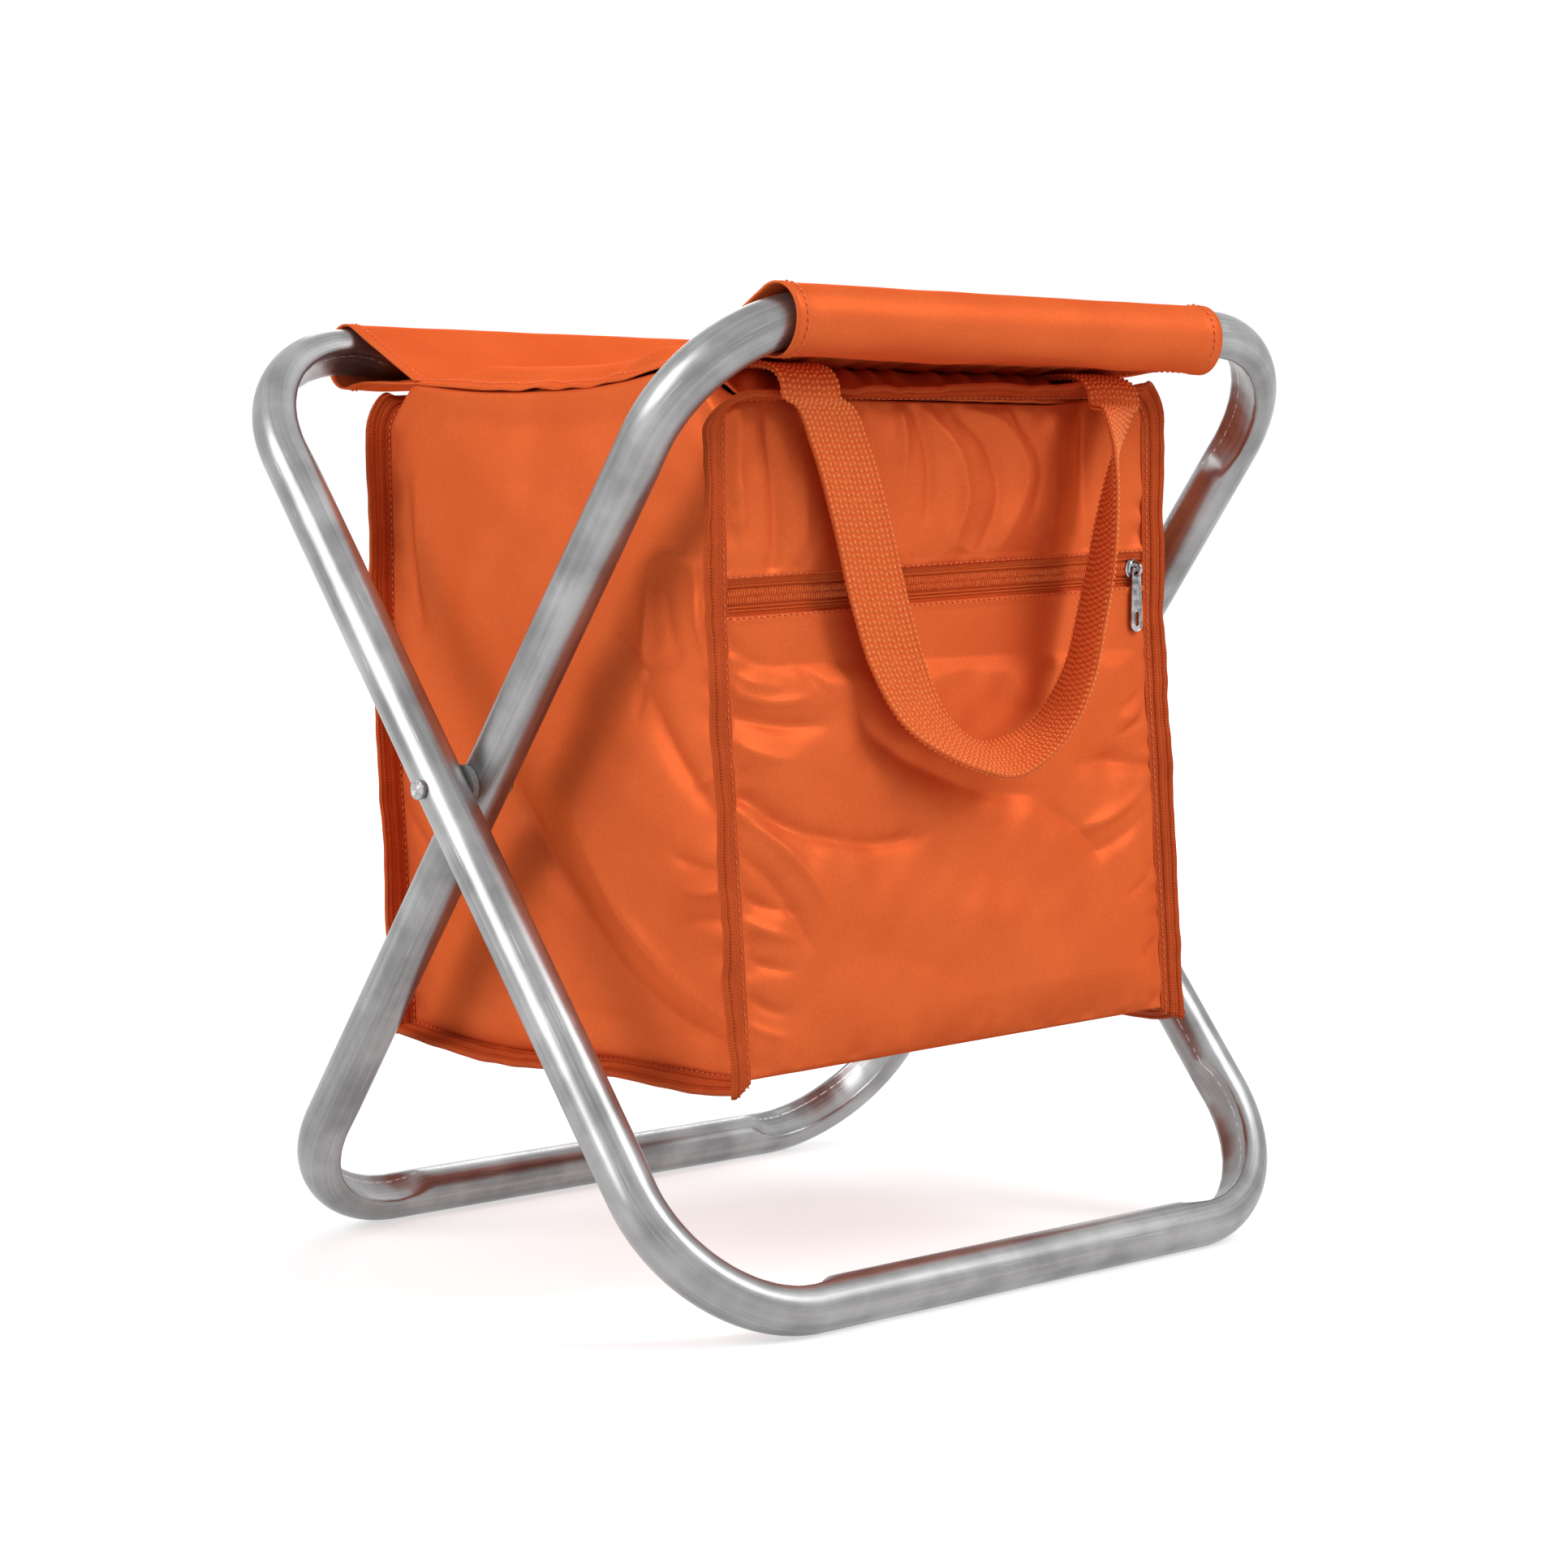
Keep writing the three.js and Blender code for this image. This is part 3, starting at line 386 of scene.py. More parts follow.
steel, start = new_material("satin_steel")
tube_u, tube_v = surface_lengths(start)
streaks = drawn_noise(tube_u, tube_v, 9, 900, 0.0, 4.0)
scratches = drawn_noise(tube_u, tube_v, 30, 2600, 3.0, 2.0).step(0.69, 0.75)
# Broad bands round the girth: painted reflection, the light and dark lines that lamps make along a tube.
broad_painted_reflection_bands = drawn_noise(tube_u, tube_v, 5, 150, 7.0, 2.0)
clouds = own_noise(start, 38.0, 3.0)
weld_wander = own_noise(start, 30.0) * weld_sway
weld_line = 1 - abs(tube_v + weld_wander - weld_place).step(weld_core, weld_edge)
weld = weld_line * own_noise(start, 420.0).step(0.42, 0.56)
# The tube's base tone: fine drawn streaks and mottling, mixed with broad bands of painted reflection.
streak_tone_and_painted_reflection = (streaks * 0.2 + clouds * 0.5 + broad_painted_reflection_bands * 0.3).step(0.34, 0.66)
metal_color = streak_tone_and_painted_reflection.blend((0.21, 0.21, 0.214), (0.41, 0.41, 0.414))
metal_color = (weld + scratches * 0.45).blend(metal_color, (0.8, 0.8, 0.8))
put_out(start, start.node("ShaderNodeBsdfPrincipled", {
    "Base Color": metal_color, "Metallic": 0.85,
    "Roughness": 0.24 + streaks * 0.12 + clouds * 0.06 + weld * 0.2,
    "Normal": start.node("ShaderNodeBump", {
        "Height": streaks * 0.3 + scratches, "Strength": 0.25, "Distance": steel_relief}),
}))

for tube_body, tube_turn in (("rear_rail_frame", 0), ("front_rail_frame", math.pi)):
    points, uv = tube_points(tube_turn)
    tube_mesh = mesh_of_rings(tube_body + "_bent_tube", points, uv, closed_round=True, cap_ends=True)
    tube_mesh.materials.append(steel)
    tube = put_in_scene(tube_body + "_bent_tube", tube_mesh)
    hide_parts(tube_body + "_tube")
    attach(tube, tube_body)


def dress(node_names, material):
    """Gives CAD nodes that stay their material."""
    for node_name in node_names:
        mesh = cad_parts[node_name].data
        mesh.materials.clear()
        mesh.materials.append(material)


dress(["rear_rail_frame_splice", "front_rail_frame_splice"], steel)


# Pivots: a solid rivet goes through both legs on each side. Its outer head is a low drum
# with turned rings, its inner end is hammered over, and a grey nylon washer sits between
# the pressed flats.
rivet_radius = 0.0025
rivet_head_radius = 0.004
rivet_head_height = 0.0022
outer_leg = leg_spacing / 2 + loop_offset
inner_leg = leg_spacing / 2 - loop_offset
seat_gap = 0.0003
rivet_sides = 48
head_base = outer_leg + tube_radius + seat_gap
tail_base = inner_leg - tube_radius - seat_gap

rivet_profile = [(0.0, head_base + rivet_head_height * 0.86)]
for ring_share in np.linspace(0.12, 0.84, 25):
    ring_rise = rivet_head_height * (0.9 + 0.035 * math.cos(ring_share * 2 * math.pi * 5.2))
    rivet_profile.append((ring_share * rivet_head_radius, head_base + ring_rise))
rivet_profile += [
    (rivet_head_radius * 0.9, head_base + rivet_head_height * 0.95),
    (rivet_head_radius * 0.97, head_base + rivet_head_height * 0.86),
    (rivet_head_radius, head_base + rivet_head_height * 0.7),
    (rivet_head_radius, head_base + rivet_head_height * 0.12),
    (rivet_head_radius * 0.96, head_base),
    (rivet_radius, head_base),
    (rivet_radius, tail_base),
    (rivet_head_radius * 0.96, tail_base),
    (rivet_head_radius, tail_base - rivet_head_height * 0.2),
    (rivet_head_radius * 0.86, tail_base - rivet_head_height * 0.6),
    (rivet_head_radius * 0.5, tail_base - rivet_head_height * 0.9),
    (0.0, tail_base - rivet_head_height),
]


def turned_skin(name, rows, sides):
    """A smooth closed mesh over rings along X, each a place along, two half sizes and a
    middle height. A ring without size is a single point."""
    work = bmesh.new()
    rings = []
    for x, half_width, half_height, middle in rows:
        if half_width == 0:
            rings.append([work.verts.new((x, 0, middle))])
            continue
        rings.append([work.verts.new((x, half_width * math.cos(a), middle + half_height * math.sin(a)))
                      for a in (2 * math.pi * k / sides for k in range(sides))])
    for near, far in zip(rings, rings[1:]):
        for k in range(sides):
            corners = [near[k % len(near)], near[(k + 1) % len(near)],
                       far[(k + 1) % len(far)], far[k % len(far)]]
            work.faces.new(list(dict.fromkeys(corners)))
    bmesh.ops.recalc_face_normals(work, faces=work.faces)
    for face in work.faces:
        face.smooth = True
    mesh = bpy.data.meshes.new(name)
    work.to_mesh(mesh)
    work.free()
    return mesh


rivet_metal, start = new_material("turned_rivet_steel")
grime = own_noise(start, 700.0, 3.0)
put_out(start, start.node("ShaderNodeBsdfPrincipled", {
    "Base Color": grime.step(0.35, 0.65).blend((0.34, 0.34, 0.34), (0.48, 0.48, 0.48)), "Metallic": 1.0,
    "Roughness": 0.2 + grime * 0.2,
}))

washer_nylon, start = new_material("grey_nylon_washer")
speck = own_noise(start, 900.0)
put_out(start, start.node("ShaderNodeBsdfPrincipled", {
    "Base Color": speck.step(0.3, 0.7).blend((0.24, 0.24, 0.24), (0.32, 0.32, 0.32)),
    "Roughness": 0.5 + speck * 0.2,
}))

for rivet_side, sign in (("left", -1), ("right", 1)):
    rivet_rows = [(sign * x, radius, radius, pivot_height) for radius, x in rivet_profile]
    rivet_mesh = turned_skin(f"pivot_{rivet_side}_turned_rivet", rivet_rows, rivet_sides)
    rivet_mesh.materials.append(rivet_metal)
    rivet = put_in_scene(rivet_mesh.name, rivet_mesh)
    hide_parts(f"pivot_rivet_{rivet_side}")
    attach(rivet, "bag_and_seat")
dress(["pivot_washer_left", "pivot_washer_right"], washer_nylon)


# Seat cloth at the rails: coated nylon wrapped round each top rail, slack underneath,
# with both layers brought back to a seam. The ends are turned in and stitched as a hem.
cloth_width = 0.236
cloth_shift = -0.004
cloth_thickness = 0.0009
seam_reach = 0.0863
seam_upper_height = 0.3615
seam_lower_height = 0.3600
sleeve_radius = 0.0117
sleeve_droop = 0.0036
sleeve_upper_end = math.radians(57)
sleeve_lower_end = math.radians(283)
lower_layer_sag = 0.0016
hem_width = 0.0062
hem_rise = 0.0004
hem_softness = 0.0008
hem_stitch_share = 0.8
seam_pucker = 0.0008
seam_pucker_reach = 0.022
seam_grip = 0.003
pucker_pitch = 0.0165
pucker_wander_pitch = 0.06
slack_wave, slack_wave_pitch = 0.0006, 0.07
cloth_wave, cloth_wave_pitch = 0.00009, 0.05
flap_root, flap_end = (0.088, 0.357), (0.121, 0.372)
sleeve_columns = 96
layer_rows = 16
sleeve_rows = 46
stitch_pitch = 0.0030
stitch_length = 0.0021
stitch_width = 0.00055
stitch_lift = 0.0002
nylon_relief = 0.00006
body_of_cloth = "bag_and_seat"


def waves(a, b, scale, seed, count=7):
    """Smooth noise from a few crossing waves, about -1 to 1."""
    rng = np.random.default_rng(seed)
    total = np.zeros(np.broadcast(a, b).shape)
    for _ in range(count):
        way, phase, pitch = rng.uniform(0, 2 * np.pi), rng.uniform(0, 2 * np.pi), rng.uniform(0.6, 1.7)
        total += np.sin((a * np.cos(way) + b * np.sin(way)) * 2 * np.pi * pitch / scale + phase)
    return total / math.sqrt(count)


def cloth_object(name, points, uv, material, outward, thickness=cloth_thickness):
    """A cloth piece: a grid of points, thickened behind its outer face."""
    mesh = mesh_of_rings(name, points, uv, closed_round=False, cap_ends=False, outward=outward)
    mesh.materials.append(material)
    made = put_in_scene(name, mesh)
    wall = made.modifiers.new("wall", "SOLIDIFY")
    wall.thickness, wall.offset = thickness, -1
    return made


def nylon_finish(name, dark, light, weave_pitch=0.00042):
    """Coated nylon: a fine weave under a satin coat, faintly mottled."""
    material, start = new_material(name)
    u, v = surface_lengths(start)
    warp = start.math("SINE", u * (2 * math.pi / weave_pitch))
    weft = start.math("SINE", v * (2 * math.pi / weave_pitch))
    mottle = own_noise(start, 26.0, 3.0)
    fleck = own_noise(start, 900.0, 1.0)
    height = warp * weft * 0.5 + fleck * 0.5
    bump = start.node("ShaderNodeBump", {"Height": height, "Strength": 0.12, "Distance": nylon_relief})
    put_out(start, start.node("ShaderNodeBsdfPrincipled", {
        "Base Color": (mottle * 0.6 + fleck * 0.4).step(0.3, 0.7).blend(dark, light),
        "Roughness": 0.41 + mottle * 0.07, "Normal": bump, "Metallic": 0.24,
        "Specular IOR Level": 0.0, "Specular Tint": (1.0, 0.34, 0.14, 1),
    }))
    return material


nylon = nylon_finish("coated_orange_nylon", (0.69, 0.120, 0.033), (0.77, 0.146, 0.041))

thread, start = new_material("orange_thread")
twist = own_noise(start, 1500.0, 1.0)
put_out(start, start.node("ShaderNodeBsdfPrincipled", {
    "Base Color": twist.step(0.3, 0.7).blend((0.66, 0.12, 0.03), (0.9, 0.24, 0.08)),
    "Roughness": 0.5 + twist * 0.1,
}))


def repeat_tree():
    """Geometry nodes that set copies of a small part along lines. The lines' "up" attribute
    says where the top of each copy points."""
    tree = bpy.data.node_groups.new("parts_along_lines", "GeometryNodeTree")
    for name, way, kind in (("Lines", "INPUT", "Geometry"), ("Part", "INPUT", "Object"),
                            ("Spacing", "INPUT", "Float"), ("Material", "INPUT", "Material"),
                            ("Copies", "OUTPUT", "Geometry")):
        tree.interface.new_socket(name, in_out=way, socket_type="NodeSocket" + kind)
    group = Wire(tree)
    given = group.node("NodeGroupInput")
    curve = group.node("GeometryNodeMeshToCurve", {"Mesh": given.beside("Lines")})
    evened = group.node("GeometryNodeResampleCurve", {
        "Curve": curve, "Length": given.beside("Spacing")}, mode="LENGTH")
    up = group.node("GeometryNodeInputNamedAttribute", {"Name": "up"}, data_type="FLOAT_VECTOR")
    turned = group.node("FunctionNodeAxesToRotation", {
        "Primary Axis": group.node("GeometryNodeInputTangent"), "Secondary Axis": up,
    }, primary_axis="X", secondary_axis="Z")
    part = group.node("GeometryNodeObjectInfo", {"Object": given.beside("Part")}).beside("Geometry")
    copies = group.node("GeometryNodeInstanceOnPoints", {
        "Points": evened, "Instance": part, "Rotation": turned})
    real = group.node("GeometryNodeRealizeInstances", {"Geometry": copies})
    done = group.node("GeometryNodeSetMaterial", {"Geometry": real, "Material": given.beside("Material")})
    group.node("NodeGroupOutput", {"Copies": done})
    return tree


along_lines = repeat_tree()


def parts_along(name, lines, part, spacing, material):
    """A plain mesh of copies of a part's mesh along lines, each a pair of point and up rows."""
    points = np.concatenate([line for line, _ in lines])
    ups = np.concatenate([np.broadcast_to(up, line.shape) for line, up in lines])
    edges, first = [], 0
    for line, _ in lines:
        edges += [(first + k, first + k + 1) for k in range(len(line) - 1)]
        first += len(line)
    track = bpy.data.meshes.new(name + "_track")
    track.from_pydata(points.tolist(), edges, [])
    facing = track.attributes.new("up", "FLOAT_VECTOR", "POINT")
    facing.data.foreach_set("vector", ups.astype(np.float32).ravel())
    carrier, sample = put_in_scene(name + "_track", track), put_in_scene(name + "_part", part)
    setter = carrier.modifiers.new("repeat", "NODES")
    setter.node_group = along_lines
    given = {"Part": sample, "Spacing": spacing, "Material": material}
    for item in along_lines.interface.items_tree:
        if item.in_out == "INPUT" and item.name in given:
            setter[item.identifier] = given[item.name]
    mesh = bpy.data.meshes.new_from_object(carrier.evaluated_get(bpy.context.evaluated_depsgraph_get()))
    mesh.name = name
    bpy.data.objects.remove(carrier)
    bpy.data.objects.remove(sample)
    return mesh


def bead(name, length, width, height, sides=6, rings=5):
    """A long rounded bead along X, round its own middle: a stitch, a tooth or a woven dot."""
    stops = np.linspace(-1, 1, rings)
    sizes = np.sqrt(1 - stops ** 4)
    rows = [(stop * length / 2, size * width / 2, size * height / 2, 0) for stop, size in zip(stops, sizes)]
    return turned_skin(name, rows, sides)


def stitches(name, lines, pitch=stitch_pitch, length=stitch_length, ride=body_of_cloth):
    """Rows of stitches that ride a body. Where ride is not a body's name, they stay where they are made."""
    part = bead(name + "_stitch", length, stitch_width, stitch_width)
    made = put_in_scene(name, parts_along(name, lines, part, pitch, thread))
    if isinstance(ride, str):
        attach(made, ride)
    else:
        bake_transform(made)
    return made


def unit(rows):
    """The rows, each made one long."""
    return rows / np.linalg.norm(rows, axis=1)[:, None]


def rail_profile():
    """The wrapped cloth in (y, z) from the seam's upper layer round the front rail and
    back to the lower layer, with 0 to 1 marking the slack under the rail."""
    angles = np.linspace(sleeve_upper_end, sleeve_lower_end, sleeve_rows)
    slack = ((1 - np.sin(angles)) / 2) ** 3
    radius = sleeve_radius + sleeve_droop * slack
    arc = np.stack([-rail_reach + radius * np.cos(angles), rail_height + radius * np.sin(angles)], axis=-1)
    upper_seam = np.array([-seam_reach, seam_upper_height])
    lower_seam = np.array([-seam_reach, seam_lower_height])
    upper = upper_seam + (arc[0] - upper_seam) * np.linspace(0, 1, layer_rows, endpoint=False)[:, None]
    back = np.linspace(0, 1, layer_rows + 1)[1:]
    lower = arc[-1] + (lower_seam - arc[-1]) * back[:, None]
    lower[:, 1] += lower_layer_sag * np.sin(np.pi * back)
    mark = np.concatenate([np.zeros(layer_rows), slack, np.linspace(1, 0, layer_rows) ** 2])
    return np.concatenate([upper, arc, lower]), mark


def gathers(x, lead):
    """The waves, -1 to 1, of cloth gathered along X. The lead slants them."""
    wander = 1.6 * waves(x, 0 * x, pucker_wander_pitch, 7)
    return np.sin(2 * np.pi * (x + lead) / pucker_pitch + wander)


def rail_cloth(turn, seed):
    """The grid of one rail's cloth with its UV, its length round the rail, and the lines
    of its hem stitches."""
    profile, slack = rail_profile()
    step = np.hypot(*np.diff(profile, axis=0).T)
    run = np.concatenate([[0], np.cumsum(step)])
    x = np.linspace(-cloth_width / 2, cloth_width / 2, sleeve_columns)
    normal = np.gradient(profile, axis=0)
    normal = unit(np.stack([-normal[:, 1], normal[:, 0]], axis=-1))
    on_rail = len(profile) // 2
    if (profile[on_rail] - np.array([-rail_reach, rail_height])) @ normal[on_rail] < 0:
        normal = -normal
    grid_x, grid_run = np.meshgrid(x, run, indexing="ij")
    edge = np.minimum(grid_x + cloth_width / 2, cloth_width / 2 - grid_x)
    lift = hem_rise * (1 - smooth_step((edge - hem_width) / hem_softness))
    lift += slack_wave * slack[None, :] * waves(grid_x, grid_run * 2, slack_wave_pitch, seed)
    lift += cloth_wave * waves(grid_x, grid_run * 1.5, cloth_wave_pitch, seed + 1)
    to_seam = run[-1] - grid_run
    drawn_up = gathers(grid_x, 0.4 * to_seam)
    drawn_up = seam_pucker * drawn_up * np.exp(-(to_seam / seam_pucker_reach) ** 2)
    lift += drawn_up * smooth_step(to_seam / seam_grip)
    points = np.zeros((*grid_x.shape, 3))
    points[..., 0] = grid_x
    points[..., 1:] = profile[None] + normal[None] * lift[..., None]
    sign = math.cos(turn)
    seams = []
    for hem_side in (-1, 1):
        line = np.zeros((len(profile), 3))
        line[:, 0] = hem_side * (cloth_width / 2 - hem_width * hem_stitch_share)
        line[:, 1:] = profile + normal * (hem_rise + stitch_lift)
        up = np.concatenate([np.zeros((len(profile), 1)), normal], axis=1)
        line[:, :2], up[:, :2] = line[:, :2] * sign, up[:, :2] * sign
        seams.append((line + [cloth_shift, 0, 0], up))
    points[..., :2] *= sign
    points[..., 0] += cloth_shift
    return points, np.stack([grid_x, grid_run], axis=-1), run[-1], seams


for face_name, turn, rail_body in (("front", 0, "front_rail_frame"), ("back", math.pi, "rear_rail_frame")):
    points, uv, cloth_run, hem_lines = rail_cloth(turn, 11 if turn else 5)
    sign = math.cos(turn)
    piece = cloth_object(f"seat_{face_name}_rail_cloth", points, uv, nylon, (0, -sign * 0.2, 1))
    swing_start, swing_end = [(0, -sign * reach, height) for reach, height in (flap_root, flap_end)]
    swing = (body_of_cloth, rail_body, swing_start, swing_end)
    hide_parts(f"seat_sleeve_{face_name}", f"seat_flap_{face_name}")
    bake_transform(piece)
    stitches(f"seat_{face_name}_hem_stitches", hem_lines, ride=swing)


# Seat panel: the same nylon between the two seams, lying on the bag's top. It is loose:
# its left hem droops on the bag and the cloth stands up behind it as a long soft fold.
panel_reach = 0.0860
panel_low = 0.3546
panel_rise = 0.0069
fold_height = 0.0090
fold_inset = 0.024
fold_spread = 0.034
hem_droop = 0.0012
hem_droop_reach = 0.003
seat_hollow = 0.0004
second_fold_height, second_fold_width = 0.0026, 0.008
second_fold_lead, second_fold_place = 0.035, 0.03
ruffle_height, ruffle_pitch, ruffle_reach = 0.0006, 0.024, 0.009
ruffle_place, ruffle_run = 0.005, 0.03
seat_wave, seat_wave_pitch = 0.0007, 0.09
half_cloth = cloth_width / 2


def seat_base(y):
    """The seat panel's height between the seams, before its folds."""
    along = y / panel_reach
    hollow = seat_hollow * np.exp(-((along + 0.25) / 0.4) ** 2)
    return panel_low + panel_rise * np.abs(along) ** 2.4 - hollow


def seat_height(x, y):
    """The seat panel's height, hem and ruffles included."""
    along = y / panel_reach
    total = seat_base(y)
    for side, share in ((-1, 1.0), (1, 0.5)):
        inset = half_cloth + side * -x
        rise = smooth_step(inset / fold_inset)
        beyond = np.clip(inset - fold_inset, 0, None)
        shape = rise * (0.3 + 0.7 * np.exp(-(beyond / fold_spread) ** 2))
        length = smooth_step((1.06 - along) / 0.4) * smooth_step((along + 1) / 0.16)
        total = total + share * fold_height * shape * length
    hold = np.clip(1 - np.abs(along) ** 6, 0, 1)
    edge = np.minimum(x + half_cloth, half_cloth - x)
    hem = hem_rise * (1 - smooth_step((edge - hem_width) / hem_softness))
    inset = x + half_cloth
    second = np.exp(-((y + second_fold_lead + 0.5 * inset) / second_fold_width) ** 2)
    second = second * np.exp(-((inset - second_fold_place) / second_fold_place) ** 2)
    ruffle = ruffle_height * np.sin(2 * np.pi * y / ruffle_pitch) * np.exp(-(edge / ruffle_reach) ** 2)
    ruffle = ruffle * np.exp(-((y + ruffle_place) / ruffle_run) ** 2)
    over = -hem_droop * np.exp(-(edge / hem_droop_reach) ** 2)
    loose = second_fold_height * second + seat_wave * waves(x, y * 2.0, seat_wave_pitch, 3)
    return total + hem + over + ruffle + hold * loose


seat_x, seat_y = np.meshgrid(
    np.linspace(-half_cloth, half_cloth, 120), np.linspace(-panel_reach, panel_reach, 110), indexing="ij")
seat_points = np.stack([seat_x + cloth_shift, seat_y, seat_height(seat_x, seat_y)], axis=-1)
seat = cloth_object("seat_middle_cloth", seat_points, np.stack([seat_x, seat_y], axis=-1), nylon, (0, 0, 1))
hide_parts("seat_panel")
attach(seat, body_of_cloth)
seat_hems = []
for hem_side in (-1, 1):
    hem_y = np.linspace(-panel_reach, panel_reach, 90)
    hem_x = np.full_like(hem_y, hem_side * (half_cloth - hem_width * hem_stitch_share))
    line = np.stack([hem_x + cloth_shift, hem_y, seat_height(hem_x, hem_y) + stitch_lift], axis=-1)
    seat_hems.append((line, np.array([hem_side * 0.4, 0.0, 1.0])))
stitches("seat_hem_stitches", seat_hems)


# Bag: cut panels of the same nylon over foam boards, sewn at the edges. The bag hangs
# from the seat's seams, and below the pocket zip its front leans out and swells.
bag_depth = 0.209
bag_bottom = 0.0900
bag_top = 0.3470
bag_corner = 0.012
half_bag = cloth_width / 2
bag_face = bag_depth / 2
lean_start = 0.250
lean_reach = 0.0095
lean_softness = 0.006
corner_drops = {(-1, -1): 0.0012, (1, -1): 0.0050, (-1, 1): 0.003, (1, 1): 0.003}
side_sag = 0.0045
sag_place, sag_spread = 0.35, 0.5
top_crown = 0.0126
side_closeness = 0.0006
side_reach = bag_face - 0.0002
edge_corner = 0.0022
rise_start, rise_run = 0.055, 0.05
rise_floor, rise_height = 0.315, 0.032


def side_rise(x, y, z):
    """How far the bag's top is drawn up along its sides, where it touches the seat's hems."""
    kept = np.where((y > 0) | (x > 0), 0.35, 0.0)
    ends = 1 - (1 - kept) * smooth_step((np.abs(y) - panel_reach) / (side_reach - panel_reach))
    lift = (seat_base(np.clip(y, -panel_reach, panel_reach)) - side_closeness - bag_top) * ends
    lift = lift * smooth_step((np.abs(x) - rise_start) / rise_run)
    return lift * smooth_step((z - rise_floor) / rise_height)


def corner_radius(y):
    """The radius by which a side turns over into the top: tight but at the bound faces."""
    return edge_corner + (bag_corner - edge_corner) * (y / side_reach) ** 12


def hang(x_share, y_share, low):
    """How far a point moves up where the bag's corners are drawn up and its sides sag."""
    total = 0 * low
    for (side_x, side_y), drop in corner_drops.items():
        weight = 1 + side_x * np.clip(x_share, -1.2, 1.2)
        weight = weight * (1 + side_y * np.clip(y_share, -1.2, 1.2)) / 4
        total = total + weight * drop * low
    sag = np.exp(-((y_share - sag_place) / sag_spread) ** 2) - np.exp(-((1 - sag_place) / sag_spread) ** 2)
    return total - side_sag * np.clip(sag, 0, 1) * low ** 3 * np.clip(np.abs(x_share), 0, 1) ** 2


def settle(points):
    """Where a point of the squarely cut bag lies: leaning forward towards the bottom,
    with each bottom corner at its own height, and shifted along the rails."""
    points = np.array(points, float)
    x_share, y_share = points[..., 0] / half_bag, points[..., 1] / bag_face
    wall = lean_start - bag_bottom
    low = lean_softness * np.logaddexp(0, (lean_start - points[..., 2]) / lean_softness) / wall
    points[..., 2] += hang(x_share, y_share, low)
    points[..., 2] += side_rise(points[..., 0], points[..., 1], points[..., 2])
    points[..., 1] -= lean_reach * low
    points[..., 0] += cloth_shift
    return points


stroke_parts = 14
millimetres = 1000


def strokes(u, v, folds):
    """Ridges, or with a negative height furrows, drawn along bowed lines on a panel. Each is
    start, end, bow, width and height, in millimetres but for the bow."""
    total = np.zeros(np.broadcast(u, v).shape)
    for start, end, bow, width, height in folds:
        start, end = np.array(start) / millimetres, np.array(end) / millimetres
        along = end - start
        middle = (start + end) / 2 + np.array([-along[1], along[0]]) * bow
        t = np.linspace(0, 1, stroke_parts + 1)[:, None]
        line = (1 - t) ** 2 * start + 2 * t * (1 - t) * middle + t ** 2 * end
        first, run = line[:-1], np.diff(line, axis=0)
        to_u, to_v = u[..., None] - first[:, 0], v[..., None] - first[:, 1]
        part = np.clip((to_u * run[:, 0] + to_v * run[:, 1]) / (run ** 2).sum(1), 0, 1)
        away = np.hypot(to_u - part * run[:, 0], to_v - part * run[:, 1])
        nearest = away.argmin(-1)[..., None]
        share = (nearest + np.take_along_axis(part, nearest, -1))[..., 0] / stroke_parts
        strength = np.clip(np.sin(np.pi * (0.08 + 0.84 * share)), 0, 1) ** 0.7
        crest = np.exp(-1.35 * (np.sqrt((away.min(-1) * millimetres / width) ** 2 + 0.06) - 0.245))
        total += fold_share * height / millimetres * strength * crest
    return total


def puckers(along, gap, height, pitch, reach, wander, wander_pitch, seed):
    """Short waves along a sewn edge, which die out with the gap from it."""
    wander = wander * waves(along, 0 * along, wander_pitch, seed)
    return height * np.sin(2 * np.pi * along / pitch + wander) * np.exp(-(gap / reach) ** 2)


zip_window = 0.013
pocket_zip_height = 0.276
main_zip_height = 0.300
zip_slope = math.radians(2)
puller_room = 0.0019
puller_room_end = 0.246
roll_height = 0.016
lower_swell = 0.0052
upper_swell = 0.0030
hem_welt = 0.0005
roll_bulge = 0.0045
bulge_height = 0.022
bulge_run = 0.045
face_side_puckers = dict(height=0.0008, pitch=0.0165, reach=0.010, wander=2.2, wander_pitch=0.08)
face_end_puckers = dict(height=0.0005, pitch=0.0145, reach=0.009, wander=2.0, wander_pitch=0.09)
face_wave, face_wave_pitch = 0.0006, 0.06
face_ripple, face_ripple_pitch = 0.00025, 0.025
rim_reach = 0.004
room_softness = 0.0004
welt_width, welt_softness = 0.0026, 0.0007
welt_wobble, welt_wobble_pitch = 0.0002, 0.006
welt_stitch_lift = 0.00035
fold_share = 1.4
